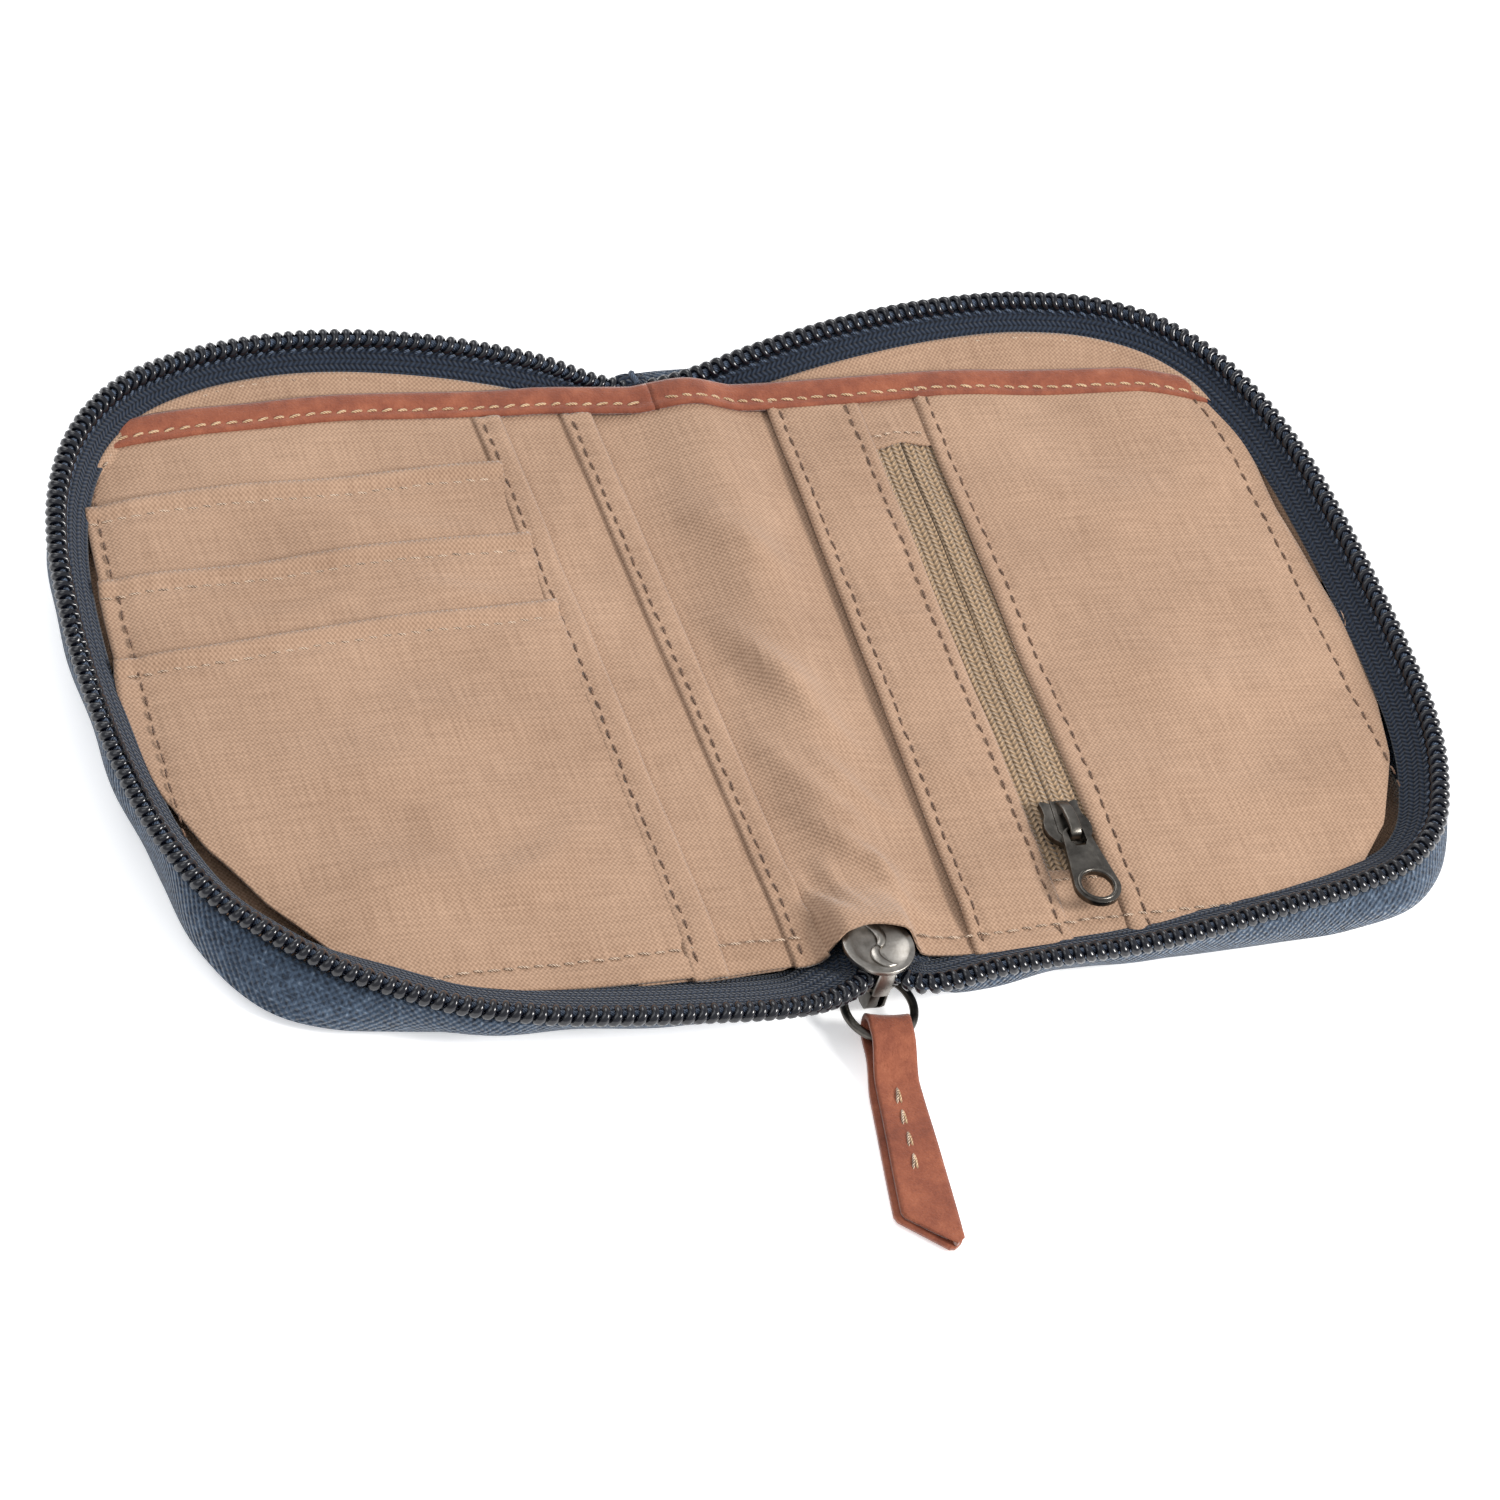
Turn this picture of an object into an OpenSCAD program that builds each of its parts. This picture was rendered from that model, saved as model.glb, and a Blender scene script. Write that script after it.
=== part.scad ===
// Zip-around passport holder, lying open and flat.
// X runs across the two covers, Y along the spine, Z up. The origin is the middle of the spine's underside.
// The main zip's slider is parked at the -Y end of the spine; the leather trim is at the +Y end.

/* [Covers] */
// Distance from the spine's middle to the outer edge of each cover
cover_reach = 115.5; // [110:0.5:125]
// Length of the holder along the spine, without the pull
cover_length = 151; // [145:0.5:160]
// Radius of the outer corners
corner_r = 38; // [30:1:45]
// Thickness of the outer canvas
canvas_t = 0.8; // [0.6:0.1:1]
// Thickness of the stiffening board
board_t = 1.2; // [1:0.1:1.4]
// Thickness of one layer of lining cloth
lining_t = 0.4; // [0.3:0.05:0.4]
// Height of the canvas wall around each cover
gusset_h = 7.4; // [7.2:0.1:7.6]
// How far the flat bottom stays inside the wall, where the canvas turns up
bottom_inset = 5; // [4:0.5:6]

/* [Main zip] */
// Diameter of each row of the nylon coil
coil_d = 2.6; // [2.4:0.1:2.7]
// Height of the top of the coil above the table
coil_top = 12.4; // [12:0.1:12.8]
// Gap between the two rows when the covers are folded shut but unzipped
closed_gap = 2.4; // [2.2:0.1:3]
// Width of the slider's round inner plate
slider_w = 12; // [11:0.5:12]
// Length of the slider
slider_l = 12; // [11:0.5:12]
// Diameter of the pull ring, measured along the middle of its wire
ring_d = 11.8; // [11.6:0.1:12]
// Diameter of the ring's wire
ring_wire = 1.5; // [1.4:0.1:1.5]
// Width of the leather tab at its fold
tab_w = 7.4; // [7:0.2:7.6]
// Length of the folded leather tab
tab_l = 45.5; // [35:0.5:50]
// Thickness of the tab's leather
tab_t = 1; // [0.9:0.1:1]

/* [Organiser] */
// Inset of the organiser's outline from the outer edge
organiser_inset = 8; // [7:0.5:9]
// Clear height of each passport sleeve
sleeve_h = 4.4; // [4.2:0.1:4.6]
// Top edge of the organiser, measured from the middle of the holder
organiser_top = 61.3; // [58:0.1:63]
// Width of the leather trim along that edge
trim_w = 5.7; // [5:0.1:7]
// Width of the folded cloth bindings
binding_w = 6; // [5:0.5:7]
// Distance from one card slot's mouth to the next
card_pitch = 16.25; // [14:0.25:16.5]
// Place of the highest card slot's mouth along the holder
card_mouth = 42.8; // [42:0.1:44]
// Distance from the spine's middle to the card pocket's open edge
card_edge = 28; // [26:0.5:30]

/* [Coin pocket] */
// Place of the coin zip's middle line, from the spine's middle
coin_x = 41.4; // [40:0.1:43]
// Visible width of the coin zip's tape
coin_tape_w = 10.4; // [10:0.1:11]
// Edge of the coin pocket that faces the spine
coin_edge = 18.5; // [17:0.5:20]
// Near end of the coin zip
coin_near = -51; // [-53:1:-50]
// Far end of the coin zip
coin_far = 44; // [40:1:46]
// Place of the coin zip's slider along the holder
coin_slider_y = -43; // [-44:0.5:-42]

/* [Hidden] */
$fn = 64;

canvas_color = [0.17, 0.24, 0.33];
navy_color = [0.05, 0.07, 0.12];
tan_color = [0.72, 0.57, 0.43];
leather_color = [0.62, 0.3, 0.18];
board_color = [0.8, 0.8, 0.78];
metal_color = [0.35, 0.33, 0.3];
beige_color = [0.6, 0.5, 0.36];

half_l = cover_length / 2;
// Each cover folds about the top face of the canvas, at this distance from the middle.
hinge_x = coil_top - canvas_t + closed_gap / 2;
hinge_gap = 0.3;
board_gap = 1.9;
board_z = canvas_t + board_t;
lining_z = board_z + lining_t;
panel_z = lining_z + lining_t;
sleeve_z = panel_z + sleeve_h;
coil_z = coil_top - coil_d / 2;
tape_z = coil_top - coil_d;
coil_inset = 1.45;
tape_t = 0.5;
// The walls at the -Y end stop short of the spine, where the soft zip bends around the slider.
wall_near_x = hinge_x + 5;
zip_near_x = hinge_x + 16.5;
wall_far_x = hinge_x + hinge_gap;
inner_x = hinge_x + board_gap;

sheet_t = 0.3;
hem_top = sleeve_z + lining_t + 5 * sheet_t + 0.1;
trim_y = organiser_top - trim_w;
slot_inner = card_edge + binding_w;

// One cover's outline, drawn on the +X side from x0 to the outer edge, moved inwards by inset.
module cover_outline(inset, x0) {
    r = corner_r - inset;
    x1 = cover_reach - inset;
    y1 = half_l - inset;
    translate([x0, -y1]) square([x1 - r - x0, 2 * y1]);
    translate([x0, -(y1 - r)]) square([x1 - x0, 2 * (y1 - r)]);
    for (side = [-1, 1]) translate([x1 - r, side * (y1 - r)]) circle(r = r);
}

module cover_slab(inset, x0, z0, t) {
    translate([0, 0, z0]) linear_extrude(t) cover_outline(inset, x0);
}

// The organiser's outline: the cover's, cut off square along the organiser's top edge.
module organiser_outline(x0, inset = organiser_inset) {
    intersection() {
        cover_outline(inset, x0);
        translate([x0, -half_l]) square([cover_reach, half_l + organiser_top]);
    }
}

module organiser_slab(x0, z0, t) {
    translate([0, 0, z0]) linear_extrude(t) organiser_outline(x0);
}

// Sweeps a profile along the three outer edges of a cover. The profile's x is 0 at the outline and
// negative inwards, and its y is the height.
module rim(near_x, far_x) {
    corner_x = cover_reach - corner_r;
    corner_y = half_l - corner_r;
    translate([near_x, -half_l, 0]) rotate([90, 0, 90]) linear_extrude(corner_x - near_x)
        mirror([1, 0]) children();
    translate([corner_x, -corner_y, 0]) rotate([0, 0, -90]) rotate_extrude(angle = 90)
        translate([corner_r, 0]) children();
    translate([cover_reach, corner_y, 0]) rotate([90, 0, 0]) linear_extrude(2 * corner_y) children();
    translate([corner_x, corner_y, 0]) rotate_extrude(angle = 90) translate([corner_r, 0]) children();
    translate([far_x, half_l, 0]) rotate([90, 0, 90]) linear_extrude(corner_x - far_x) children();
}

module gusset_profile() {
    polygon([[-bottom_inset, 0], [-2.2, 1.2], [-0.6, 4], [0, 5.6], [0, gusset_h], [-1.2, gusset_h],
        [-1.2, 5.2], [-1.5, 4.2], [-2.9, 1.8], [-bottom_inset, canvas_t]]);
}

module lining_profile() {
    polygon([[-bottom_inset, board_z], [-3, board_z + 0.1], [-1.9, 4.3], [-1.8, 5.2], [-2.2, 5.2],
        [-2.3, 4.5], [-3.3, lining_z + 0.1], [-bottom_inset, lining_z]]);
}

module left_side() {
    mirror([1, 0, 0]) children();
}

// --- Spine ---

module spine_shell() {
    color(canvas_color) translate([-hinge_x, bottom_inset - half_l, 0])
        cube([2 * hinge_x, 2 * (half_l - bottom_inset), canvas_t]);
}

spine_inner_w = 2 * hinge_x - 0.6;
spine_inner_y = 63;
spine_inner_l = spine_inner_y + half_l - bottom_inset - 1;

module spine_board() {
    color(board_color) translate([-spine_inner_w / 2, -spine_inner_y, canvas_t])
        cube([spine_inner_w, spine_inner_l, board_t]);
}

module spine_lining() {
    color(tan_color) translate([-spine_inner_w / 2, -spine_inner_y, board_z])
        cube([spine_inner_w, spine_inner_l, lining_t]);
}

// The organiser's cloth stands up over the spine in a narrow fold.
fold_base = 3.5;
fold_tip = 1.2;
fold_top = 8;
fold_near = -52;
module organiser_fold() {
    color(tan_color) translate([0, organiser_top, 0]) rotate([90, 0, 0])
        linear_extrude(organiser_top - fold_near)
            polygon([[-fold_base, lining_z], [fold_base, lining_z], [fold_tip, fold_top],
                [-fold_tip, fold_top]]);
}

module leather_trim_fold() {
    color(leather_color) translate([-fold_base, trim_y, fold_top])
        cube([2 * fold_base, trim_w, 1.4]);
}

// Folded tape ends that anchor the zip to the spine.
zip_tab_w = 6.8;
module zip_start_tab() {
    color(navy_color) translate([-zip_tab_w / 2, -59.4, lining_z]) cube([zip_tab_w, 4.6, 5]);
}

module zip_end_tab() {
    color(navy_color) translate([-zip_tab_w / 2, organiser_top + 1.7, lining_z]) cube([zip_tab_w, 5, 3.6]);
}

// --- Parts that both covers share, drawn on the +X side ---

module cover_shell() {
    cover_slab(bottom_inset, wall_far_x, 0, canvas_t);
}

module gusset() {
    rim(wall_near_x, wall_far_x) gusset_profile();
}

module cover_board() {
    cover_slab(bottom_inset, inner_x, canvas_t, board_t);
}

module cover_lining() {
    cover_slab(bottom_inset, inner_x, board_z, lining_t);
    rim(wall_near_x, inner_x) lining_profile();
}

module zip_tape() {
    rim(zip_near_x, wall_far_x) translate([-coil_inset - tape_t / 2, gusset_h - 2])
        square([tape_t, tape_z - gusset_h + 2]);
}

module zip_coil() {
    rim(zip_near_x, wall_far_x) translate([-coil_inset, coil_z]) circle(d = coil_d);
}

module organiser_panel() {
    organiser_slab(inner_x + 0.7, lining_z, lining_t);
}

module leather_trim() {
    intersection() {
        organiser_slab(inner_x, sleeve_z + lining_t, hem_top - sleeve_z - lining_t);
        translate([0, trim_y, 0]) cube([cover_reach, trim_w, coil_top]);
    }
}

// A cloth panel with its edges turned down to the organiser panel on three sides, open to the spine.
module sleeve(t) {
    wall_t = 0.6;
    difference() {
        organiser_slab(inner_x, panel_z, sleeve_z + t - panel_z);
        translate([0, 0, panel_z - 1]) linear_extrude(sleeve_h + 1) intersection() {
            cover_outline(organiser_inset + wall_t, inner_x - 1);
            translate([0, -half_l]) square([cover_reach, half_l + organiser_top - wall_t]);
        }
    }
}

// A strip of the organiser between two distances from the spine, up to a given place along it.
module organiser_strip(x0, x1, y1, z0, t) {
    intersection() {
        organiser_slab(x0, z0, t);
        translate([x0, -half_l, 0]) cube([x1 - x0, half_l + y1, coil_top]);
    }
}

// --- Left cover ---

module left_cover_shell() { color(canvas_color) left_side() cover_shell(); }
module left_gusset() { color(canvas_color) left_side() gusset(); }
module left_board() { color(board_color) left_side() cover_board(); }
module left_lining() { color(tan_color) left_side() cover_lining(); }
module left_zip_tape() { color(navy_color) left_side() zip_tape(); }
module left_zip_coil() { color(navy_color) left_side() zip_coil(); }
module left_organiser_panel() { color(tan_color) left_side() organiser_panel(); }
module left_leather_trim() { color(leather_color) left_side() leather_trim(); }
module left_sleeve_panel() { color(tan_color) left_side() sleeve(lining_t); }

module left_sleeve_binding() {
    color(tan_color) left_side()
        organiser_strip(inner_x, inner_x + binding_w, trim_y, sleeve_z + lining_t, 0.8);
}

module card_panel() {
    color(tan_color) left_side()
        organiser_strip(slot_inner, cover_reach, trim_y, sleeve_z + lining_t, sheet_t);
}

// Slot 1 has the highest mouth and lies lowest; each next one is a step nearer and one sheet higher.
module card_slot(n) {
    color(tan_color) left_side() organiser_strip(slot_inner, cover_reach, card_mouth - (n - 1) * card_pitch,
        sleeve_z + lining_t + n * sheet_t, sheet_t);
}

module card_binding() {
    color(tan_color) left_side()
        organiser_strip(card_edge, slot_inner, trim_y, sleeve_z + lining_t, hem_top - sleeve_z - lining_t);
}

// --- Right cover ---

module right_cover_shell() { color(canvas_color) cover_shell(); }
module right_gusset() { color(canvas_color) gusset(); }
module right_board() { color(board_color) cover_board(); }
module right_lining() { color(tan_color) cover_lining(); }
module right_zip_tape() { color(navy_color) zip_tape(); }
module right_zip_coil() { color(navy_color) zip_coil(); }
module right_organiser_panel() { color(tan_color) organiser_panel(); }
module right_leather_trim() { color(leather_color) leather_trim(); }
module coin_pocket_back() { color(tan_color) sleeve(lining_t); }

coin_back_z = sleeve_z + lining_t;
coin_room = 0.9;
coin_tape_z = coin_back_z + coin_room;
coin_panel_t = 0.4;
coin_slit = 1;
coin_inner = coin_x - coin_tape_w / 2;
coin_outer = coin_x + coin_tape_w / 2;

// The strip's near end stays clear of the parked main slider when the cover folds shut.
module coin_pocket_strip() {
    near_y = slider_nose + slider_l + 0.6;
    color(tan_color) intersection() {
        organiser_strip(coin_edge, coin_inner, trim_y, coin_back_z, coin_room + coin_panel_t);
        translate([0, near_y, 0]) cube([cover_reach, cover_length, coil_top]);
    }
}

// The pocket's front is a sheet with its outer edges turned down, over the pocket's flat room.
module coin_pocket_front() {
    color(tan_color) difference() {
        organiser_strip(coin_outer, cover_reach, trim_y, coin_back_z, coin_room + coin_panel_t);
        translate([0, 0, coin_back_z - 1]) linear_extrude(coin_room + 1) intersection() {
            cover_outline(organiser_inset + 0.6, coin_outer - 1);
            translate([0, -half_l]) square([cover_reach, half_l + trim_y - 0.6]);
        }
    }
}

module coin_tape(x0, x1) {
    color(beige_color) translate([x0, coin_near, coin_tape_z])
        cube([x1 - x0, coin_far - coin_near, sheet_t]);
}

module coin_zip_tape_inner() { coin_tape(coin_inner, coin_x - coin_slit / 2); }
module coin_zip_tape_outer() { coin_tape(coin_x + coin_slit / 2, coin_outer); }

// Two rows of coil on the hidden side of the tapes.
module coin_zip_coil() {
    row_w = 1.2;
    color(beige_color) for (x = [coin_x - coin_slit / 2 - row_w, coin_x + coin_slit / 2])
        translate([x, coin_near, coin_back_z]) cube([row_w, coin_far - coin_near, coin_room]);
}

module coin_stop(y0, y1) {
    color(tan_color) translate([coin_inner, y0, coin_back_z])
        cube([coin_tape_w, y1 - y0, coin_room + coin_panel_t]);
}

module coin_zip_stop_far() { coin_stop(coin_far, trim_y); }
module coin_zip_stop_near() { coin_stop(organiser_inset - half_l, coin_near); }

// --- Main slider and its pull ---

slider_nose = -72;
plate_lo = 5.2;
plate_t = 1;
channel_h = 3.8;
plate_hi = plate_lo + plate_t + channel_h;
plate_lo_w = 9.4;
lug_y = -66.6;
lug_z = 4.2;
lug_hole_r = ring_wire / 2 + 0.06;
// The ring leans down from the lug by this angle.
ring_lean = 8;
tab_axis_y = lug_y - (ring_d - 0.75) * cos(ring_lean);
tab_axis_z = lug_z - (ring_d - 0.75) * sin(ring_lean);
tab_gap = 3.3;
tab_yaw = -6;
tab_fold_r = tab_gap / 2 + tab_t;
tab_loop_y = 0.65;

// A round plate with a straight-sided tail, seen from above.
module slider_plate(w) {
    r = w / 2;
    translate([0, slider_nose + r]) circle(r = r);
    translate([-0.36 * w, slider_nose + r]) square([0.72 * w, slider_l - r]);
}

module main_slider_body() {
    post_w = 1.6;
    color(metal_color) {
        translate([0, 0, plate_lo]) linear_extrude(plate_t) slider_plate(plate_lo_w);
        translate([0, 0, plate_hi]) linear_extrude(plate_t + 0.4) slider_plate(slider_w);
        translate([-post_w / 2, slider_nose + 0.3, plate_lo]) cube([post_w, 3.2, plate_hi - plate_lo + 1]);
    }
}

module main_slider_lug() {
    lug_w = 2.4;
    lug_r = 1.85;
    color(metal_color) difference() {
        union() {
            translate([-lug_w / 2, lug_y, lug_z]) rotate([0, 90, 0]) cylinder(r = lug_r, h = lug_w);
            translate([-lug_w / 2, lug_y - lug_r, lug_z]) cube([lug_w, 2 * lug_r, plate_lo - lug_z]);
        }
        translate([-lug_w, lug_y, lug_z]) rotate([0, 90, 0]) cylinder(r = lug_hole_r + 0.12, h = 2 * lug_w);
        translate([-lug_w, lug_y - 2 * lug_r, plate_lo]) cube([2 * lug_w, 4 * lug_r, plate_t]);
    }
}

module pull_ring() {
    color(metal_color) translate([0, lug_y, lug_z]) rotate([ring_lean, 0, 0])
        translate([0, -ring_d / 2, 0]) rotate_extrude() translate([ring_d / 2, 0]) circle(d = ring_wire);
}

// Points along the half circle that closes the leather loop, from its bottom to its top.
function fold_points(r) = [for (a = [-90:15:90]) [tab_loop_y + r * cos(a), tab_axis_z + r * sin(a)]];

// Leather folded over the ring, two layers thick, with an end that is cut on the slant.
module leather_pull_tab() {
    join_y = -9;
    loop_end_y = -1.8;
    spread = 1.2;
    reach = tab_l - tab_loop_y - tab_fold_r;
    low_z = tab_axis_z - tab_fold_r;
    color(leather_color) translate([0, tab_axis_y, 0]) rotate([0, 0, tab_yaw]) intersection() {
        translate([-tab_w, 0, 0]) rotate([90, 0, 90]) linear_extrude(2 * tab_w) difference() {
            polygon(concat([[-reach, low_z]], fold_points(tab_fold_r), [[loop_end_y, low_z + 2 * tab_fold_r],
                [join_y, low_z + 2 * tab_t], [-reach, low_z + 2 * tab_t]]));
            polygon(concat([[join_y + 1, low_z + tab_t]], fold_points(tab_gap / 2),
                [[loop_end_y, low_z + tab_t + tab_gap]]));
        }
        translate([0, 0, -1]) linear_extrude(coil_top) polygon([[-tab_w / 2, tab_fold_r + 2],
            [tab_w / 2, tab_fold_r + 2], [tab_w / 2 + spread, 3 - reach], [tab_w / 2 - 1.6, 0.6 - reach],
            [-tab_w / 2 - spread, 7 - reach]]);
    }
}

// --- Coin slider and its pull ---

coin_slider_z = coin_tape_z + sheet_t + 0.15;
coin_slider_t = 1.2;
coin_slider_w = 8.4;
coin_slider_l = 9.6;
bail_z = coin_slider_z + coin_slider_t;
bail_w = 2;
pull_axis_y = coin_slider_y - 2.6;
pull_axis_z = bail_z + 0.85;
coin_pull_t = 1;

module coin_slider_body() {
    web_w = 0.6;
    color(metal_color) {
        translate([coin_x, coin_slider_y, coin_slider_z]) linear_extrude(coin_slider_t) {
            translate([-coin_slider_w / 2, 0]) square([coin_slider_w, coin_slider_l / 2]);
            intersection() {
                translate([0, 1]) circle(r = coin_slider_l / 2 + 1);
                translate([-coin_slider_w / 2, -coin_slider_l / 2]) square([coin_slider_w, coin_slider_l]);
            }
        }
        translate([coin_x - web_w / 2, coin_slider_y - 3, coin_back_z + 0.2])
            cube([web_w, 6, coin_slider_z - coin_back_z]);
    }
}

// A bridge along the top of the slider, with a closed eye at its near end for the pull.
module coin_slider_bail() {
    bar = 0.8;
    eye = 1.7;
    length = 6.6;
    color(metal_color) translate([coin_x - bail_w / 2, pull_axis_y, bail_z]) difference() {
        translate([0, -0.85 - bar, 0]) cube([bail_w, length + bar, eye + bar]);
        translate([-1, -0.85, 0]) cube([bail_w + 2, length - bar - 0.5, eye]);
    }
}

// A tapered plate with a window for the bail and a round finger hole.
module coin_pull() {
    window_w = bail_w + 0.8;
    window_l = 3.4;
    hole_r = 2.75;
    reach = 12;
    end_r = 4;
    color(metal_color) translate([coin_x, pull_axis_y, pull_axis_z - coin_pull_t / 2]) difference() {
        union() {
            translate([0, -reach, 0]) cylinder(r = end_r, h = coin_pull_t);
            linear_extrude(coin_pull_t)
                polygon([[-2.3, 0.6], [2.3, 0.6], [0.85 * end_r, 2 - reach], [-0.85 * end_r, 2 - reach]]);
        }
        translate([-window_w / 2, -0.5 - window_l, -1]) cube([window_w, window_l, coin_pull_t + 2]);
        translate([0, -reach, -1]) cylinder(r = hole_r, h = coin_pull_t + 2);
    }
}

spine_shell();
spine_board();
spine_lining();
organiser_fold();
leather_trim_fold();
zip_start_tab();
zip_end_tab();
left_cover_shell();
left_gusset();
left_board();
left_lining();
left_zip_tape();
left_zip_coil();
left_organiser_panel();
left_leather_trim();
left_sleeve_panel();
left_sleeve_binding();
card_panel();
card_slot(1);  // card_slot_1
card_slot(2);  // card_slot_2
card_slot(3);  // card_slot_3
card_binding();
right_cover_shell();
right_gusset();
right_board();
right_lining();
right_zip_tape();
right_zip_coil();
right_organiser_panel();
right_leather_trim();
coin_pocket_back();
coin_pocket_strip();
coin_pocket_front();
coin_zip_tape_inner();
coin_zip_tape_outer();
coin_zip_coil();
coin_zip_stop_far();
coin_zip_stop_near();
main_slider_body();
main_slider_lug();
pull_ring();
leather_pull_tab();
coin_slider_body();
coin_slider_bail();
coin_pull();
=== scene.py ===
"""Zip-around passport holder, lying open and flat.

Lengths are in millimetres until MM turns them into metres.
"""
import math
from collections import namedtuple

import bmesh
import bpy
import numpy as np
from mathutils import Matrix, Vector


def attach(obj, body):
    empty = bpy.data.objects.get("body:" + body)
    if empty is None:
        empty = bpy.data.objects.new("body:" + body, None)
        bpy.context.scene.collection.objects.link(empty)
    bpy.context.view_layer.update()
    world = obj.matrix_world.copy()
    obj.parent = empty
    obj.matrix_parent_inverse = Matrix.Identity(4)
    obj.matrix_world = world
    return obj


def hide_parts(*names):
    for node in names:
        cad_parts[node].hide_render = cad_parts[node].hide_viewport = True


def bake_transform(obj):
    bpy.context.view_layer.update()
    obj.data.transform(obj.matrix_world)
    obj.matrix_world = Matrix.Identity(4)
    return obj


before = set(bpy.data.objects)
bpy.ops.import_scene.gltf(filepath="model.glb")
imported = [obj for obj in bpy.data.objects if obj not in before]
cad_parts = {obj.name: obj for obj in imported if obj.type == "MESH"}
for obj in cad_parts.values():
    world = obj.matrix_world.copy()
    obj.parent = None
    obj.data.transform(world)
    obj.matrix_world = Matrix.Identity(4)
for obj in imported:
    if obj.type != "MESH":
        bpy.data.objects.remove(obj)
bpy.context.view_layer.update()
MM = 0.001
SIDES = ("left", "right")

# --- Camera, floor and light ----------------------------------------------------------------------

CAM_AZIMUTH, CAM_ELEVATION, CAM_ROLL = math.radians(-31.89), math.radians(45.28), math.radians(19.51)
CAM_DISTANCE, CAM_LENS = 1240.2, 180.8
CAM_TARGET = Vector((-2.7, -14.05, 0))
# The floor lies just under the thread on the covers' undersides, and reaches far past the picture. In metres.
FLOOR_Z, FLOOR_HALF = -0.0006, 3.0


def make_camera():
    sa, ca = math.sin(CAM_AZIMUTH), math.cos(CAM_AZIMUTH)
    se, ce = math.sin(CAM_ELEVATION), math.cos(CAM_ELEVATION)
    back = Vector((sa * ce, -ca * ce, se))
    right = Vector((ca, sa, 0))
    up = back.cross(right)
    sr, cr = math.sin(CAM_ROLL), math.cos(CAM_ROLL)
    x_axis, y_axis = cr * right + sr * up, cr * up - sr * right
    data = bpy.data.cameras.new("camera")
    data.lens, data.sensor_width, data.clip_start, data.clip_end = CAM_LENS, 36, 0.05, 20
    cam = bpy.data.objects.new("camera", data)
    bpy.context.scene.collection.objects.link(cam)
    rot = Matrix((x_axis, y_axis, back)).transposed().to_4x4()
    cam.matrix_world = Matrix.Translation((CAM_TARGET + back * CAM_DISTANCE) * MM) @ rot
    bpy.context.scene.camera = cam


def area_light(name, place, size, power, color=(1, 1, 1)):
    data = bpy.data.lights.new(name, "AREA")
    data.size, data.energy, data.color = size, power, color
    obj = bpy.data.objects.new(name, data)
    bpy.context.scene.collection.objects.link(obj)
    obj.location = place
    obj.rotation_euler = (-Vector(place)).to_track_quat("-Z", "Y").to_euler()


def make_lights():
    area_light("key", (0.86, -0.66, 0.8), 0.42, 20.0, (1, 0.985, 0.96))
    area_light("fill", (-0.9, 0.1, 1.1), 0.9, 4.0, (0.95, 0.975, 1))
    area_light("back", (-0.15, 0.95, 0.85), 0.7, 5.0)
    world = bpy.data.worlds.new("world")
    world.use_nodes = True
    background = world.node_tree.nodes["Background"]
    background.inputs["Color"].default_value = (0.96, 0.975, 1, 1)
    background.inputs["Strength"].default_value = 0.62
    bpy.context.scene.world = world
    bpy.context.scene.view_settings.view_transform = "Standard"


def make_floor():
    mesh = bpy.data.meshes.new("floor")
    r = FLOOR_HALF
    mesh.from_pydata([(-r, -r, 0), (r, -r, 0), (r, r, 0), (-r, r, 0)], [], [(0, 1, 2, 3)])
    floor = bpy.data.objects.new("floor", mesh)
    floor.location.z = FLOOR_Z
    bpy.context.scene.collection.objects.link(floor)
    m = Nodes("floor_white", 0.6)
    m.set(Base_Color=(0.93, 0.93, 0.935, 1), Emission_Color=(1, 1, 1, 1), Emission_Strength=0.45)
    floor.data.materials.append(m.mat)


# --- Materials ------------------------------------------------------------------------------------

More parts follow.
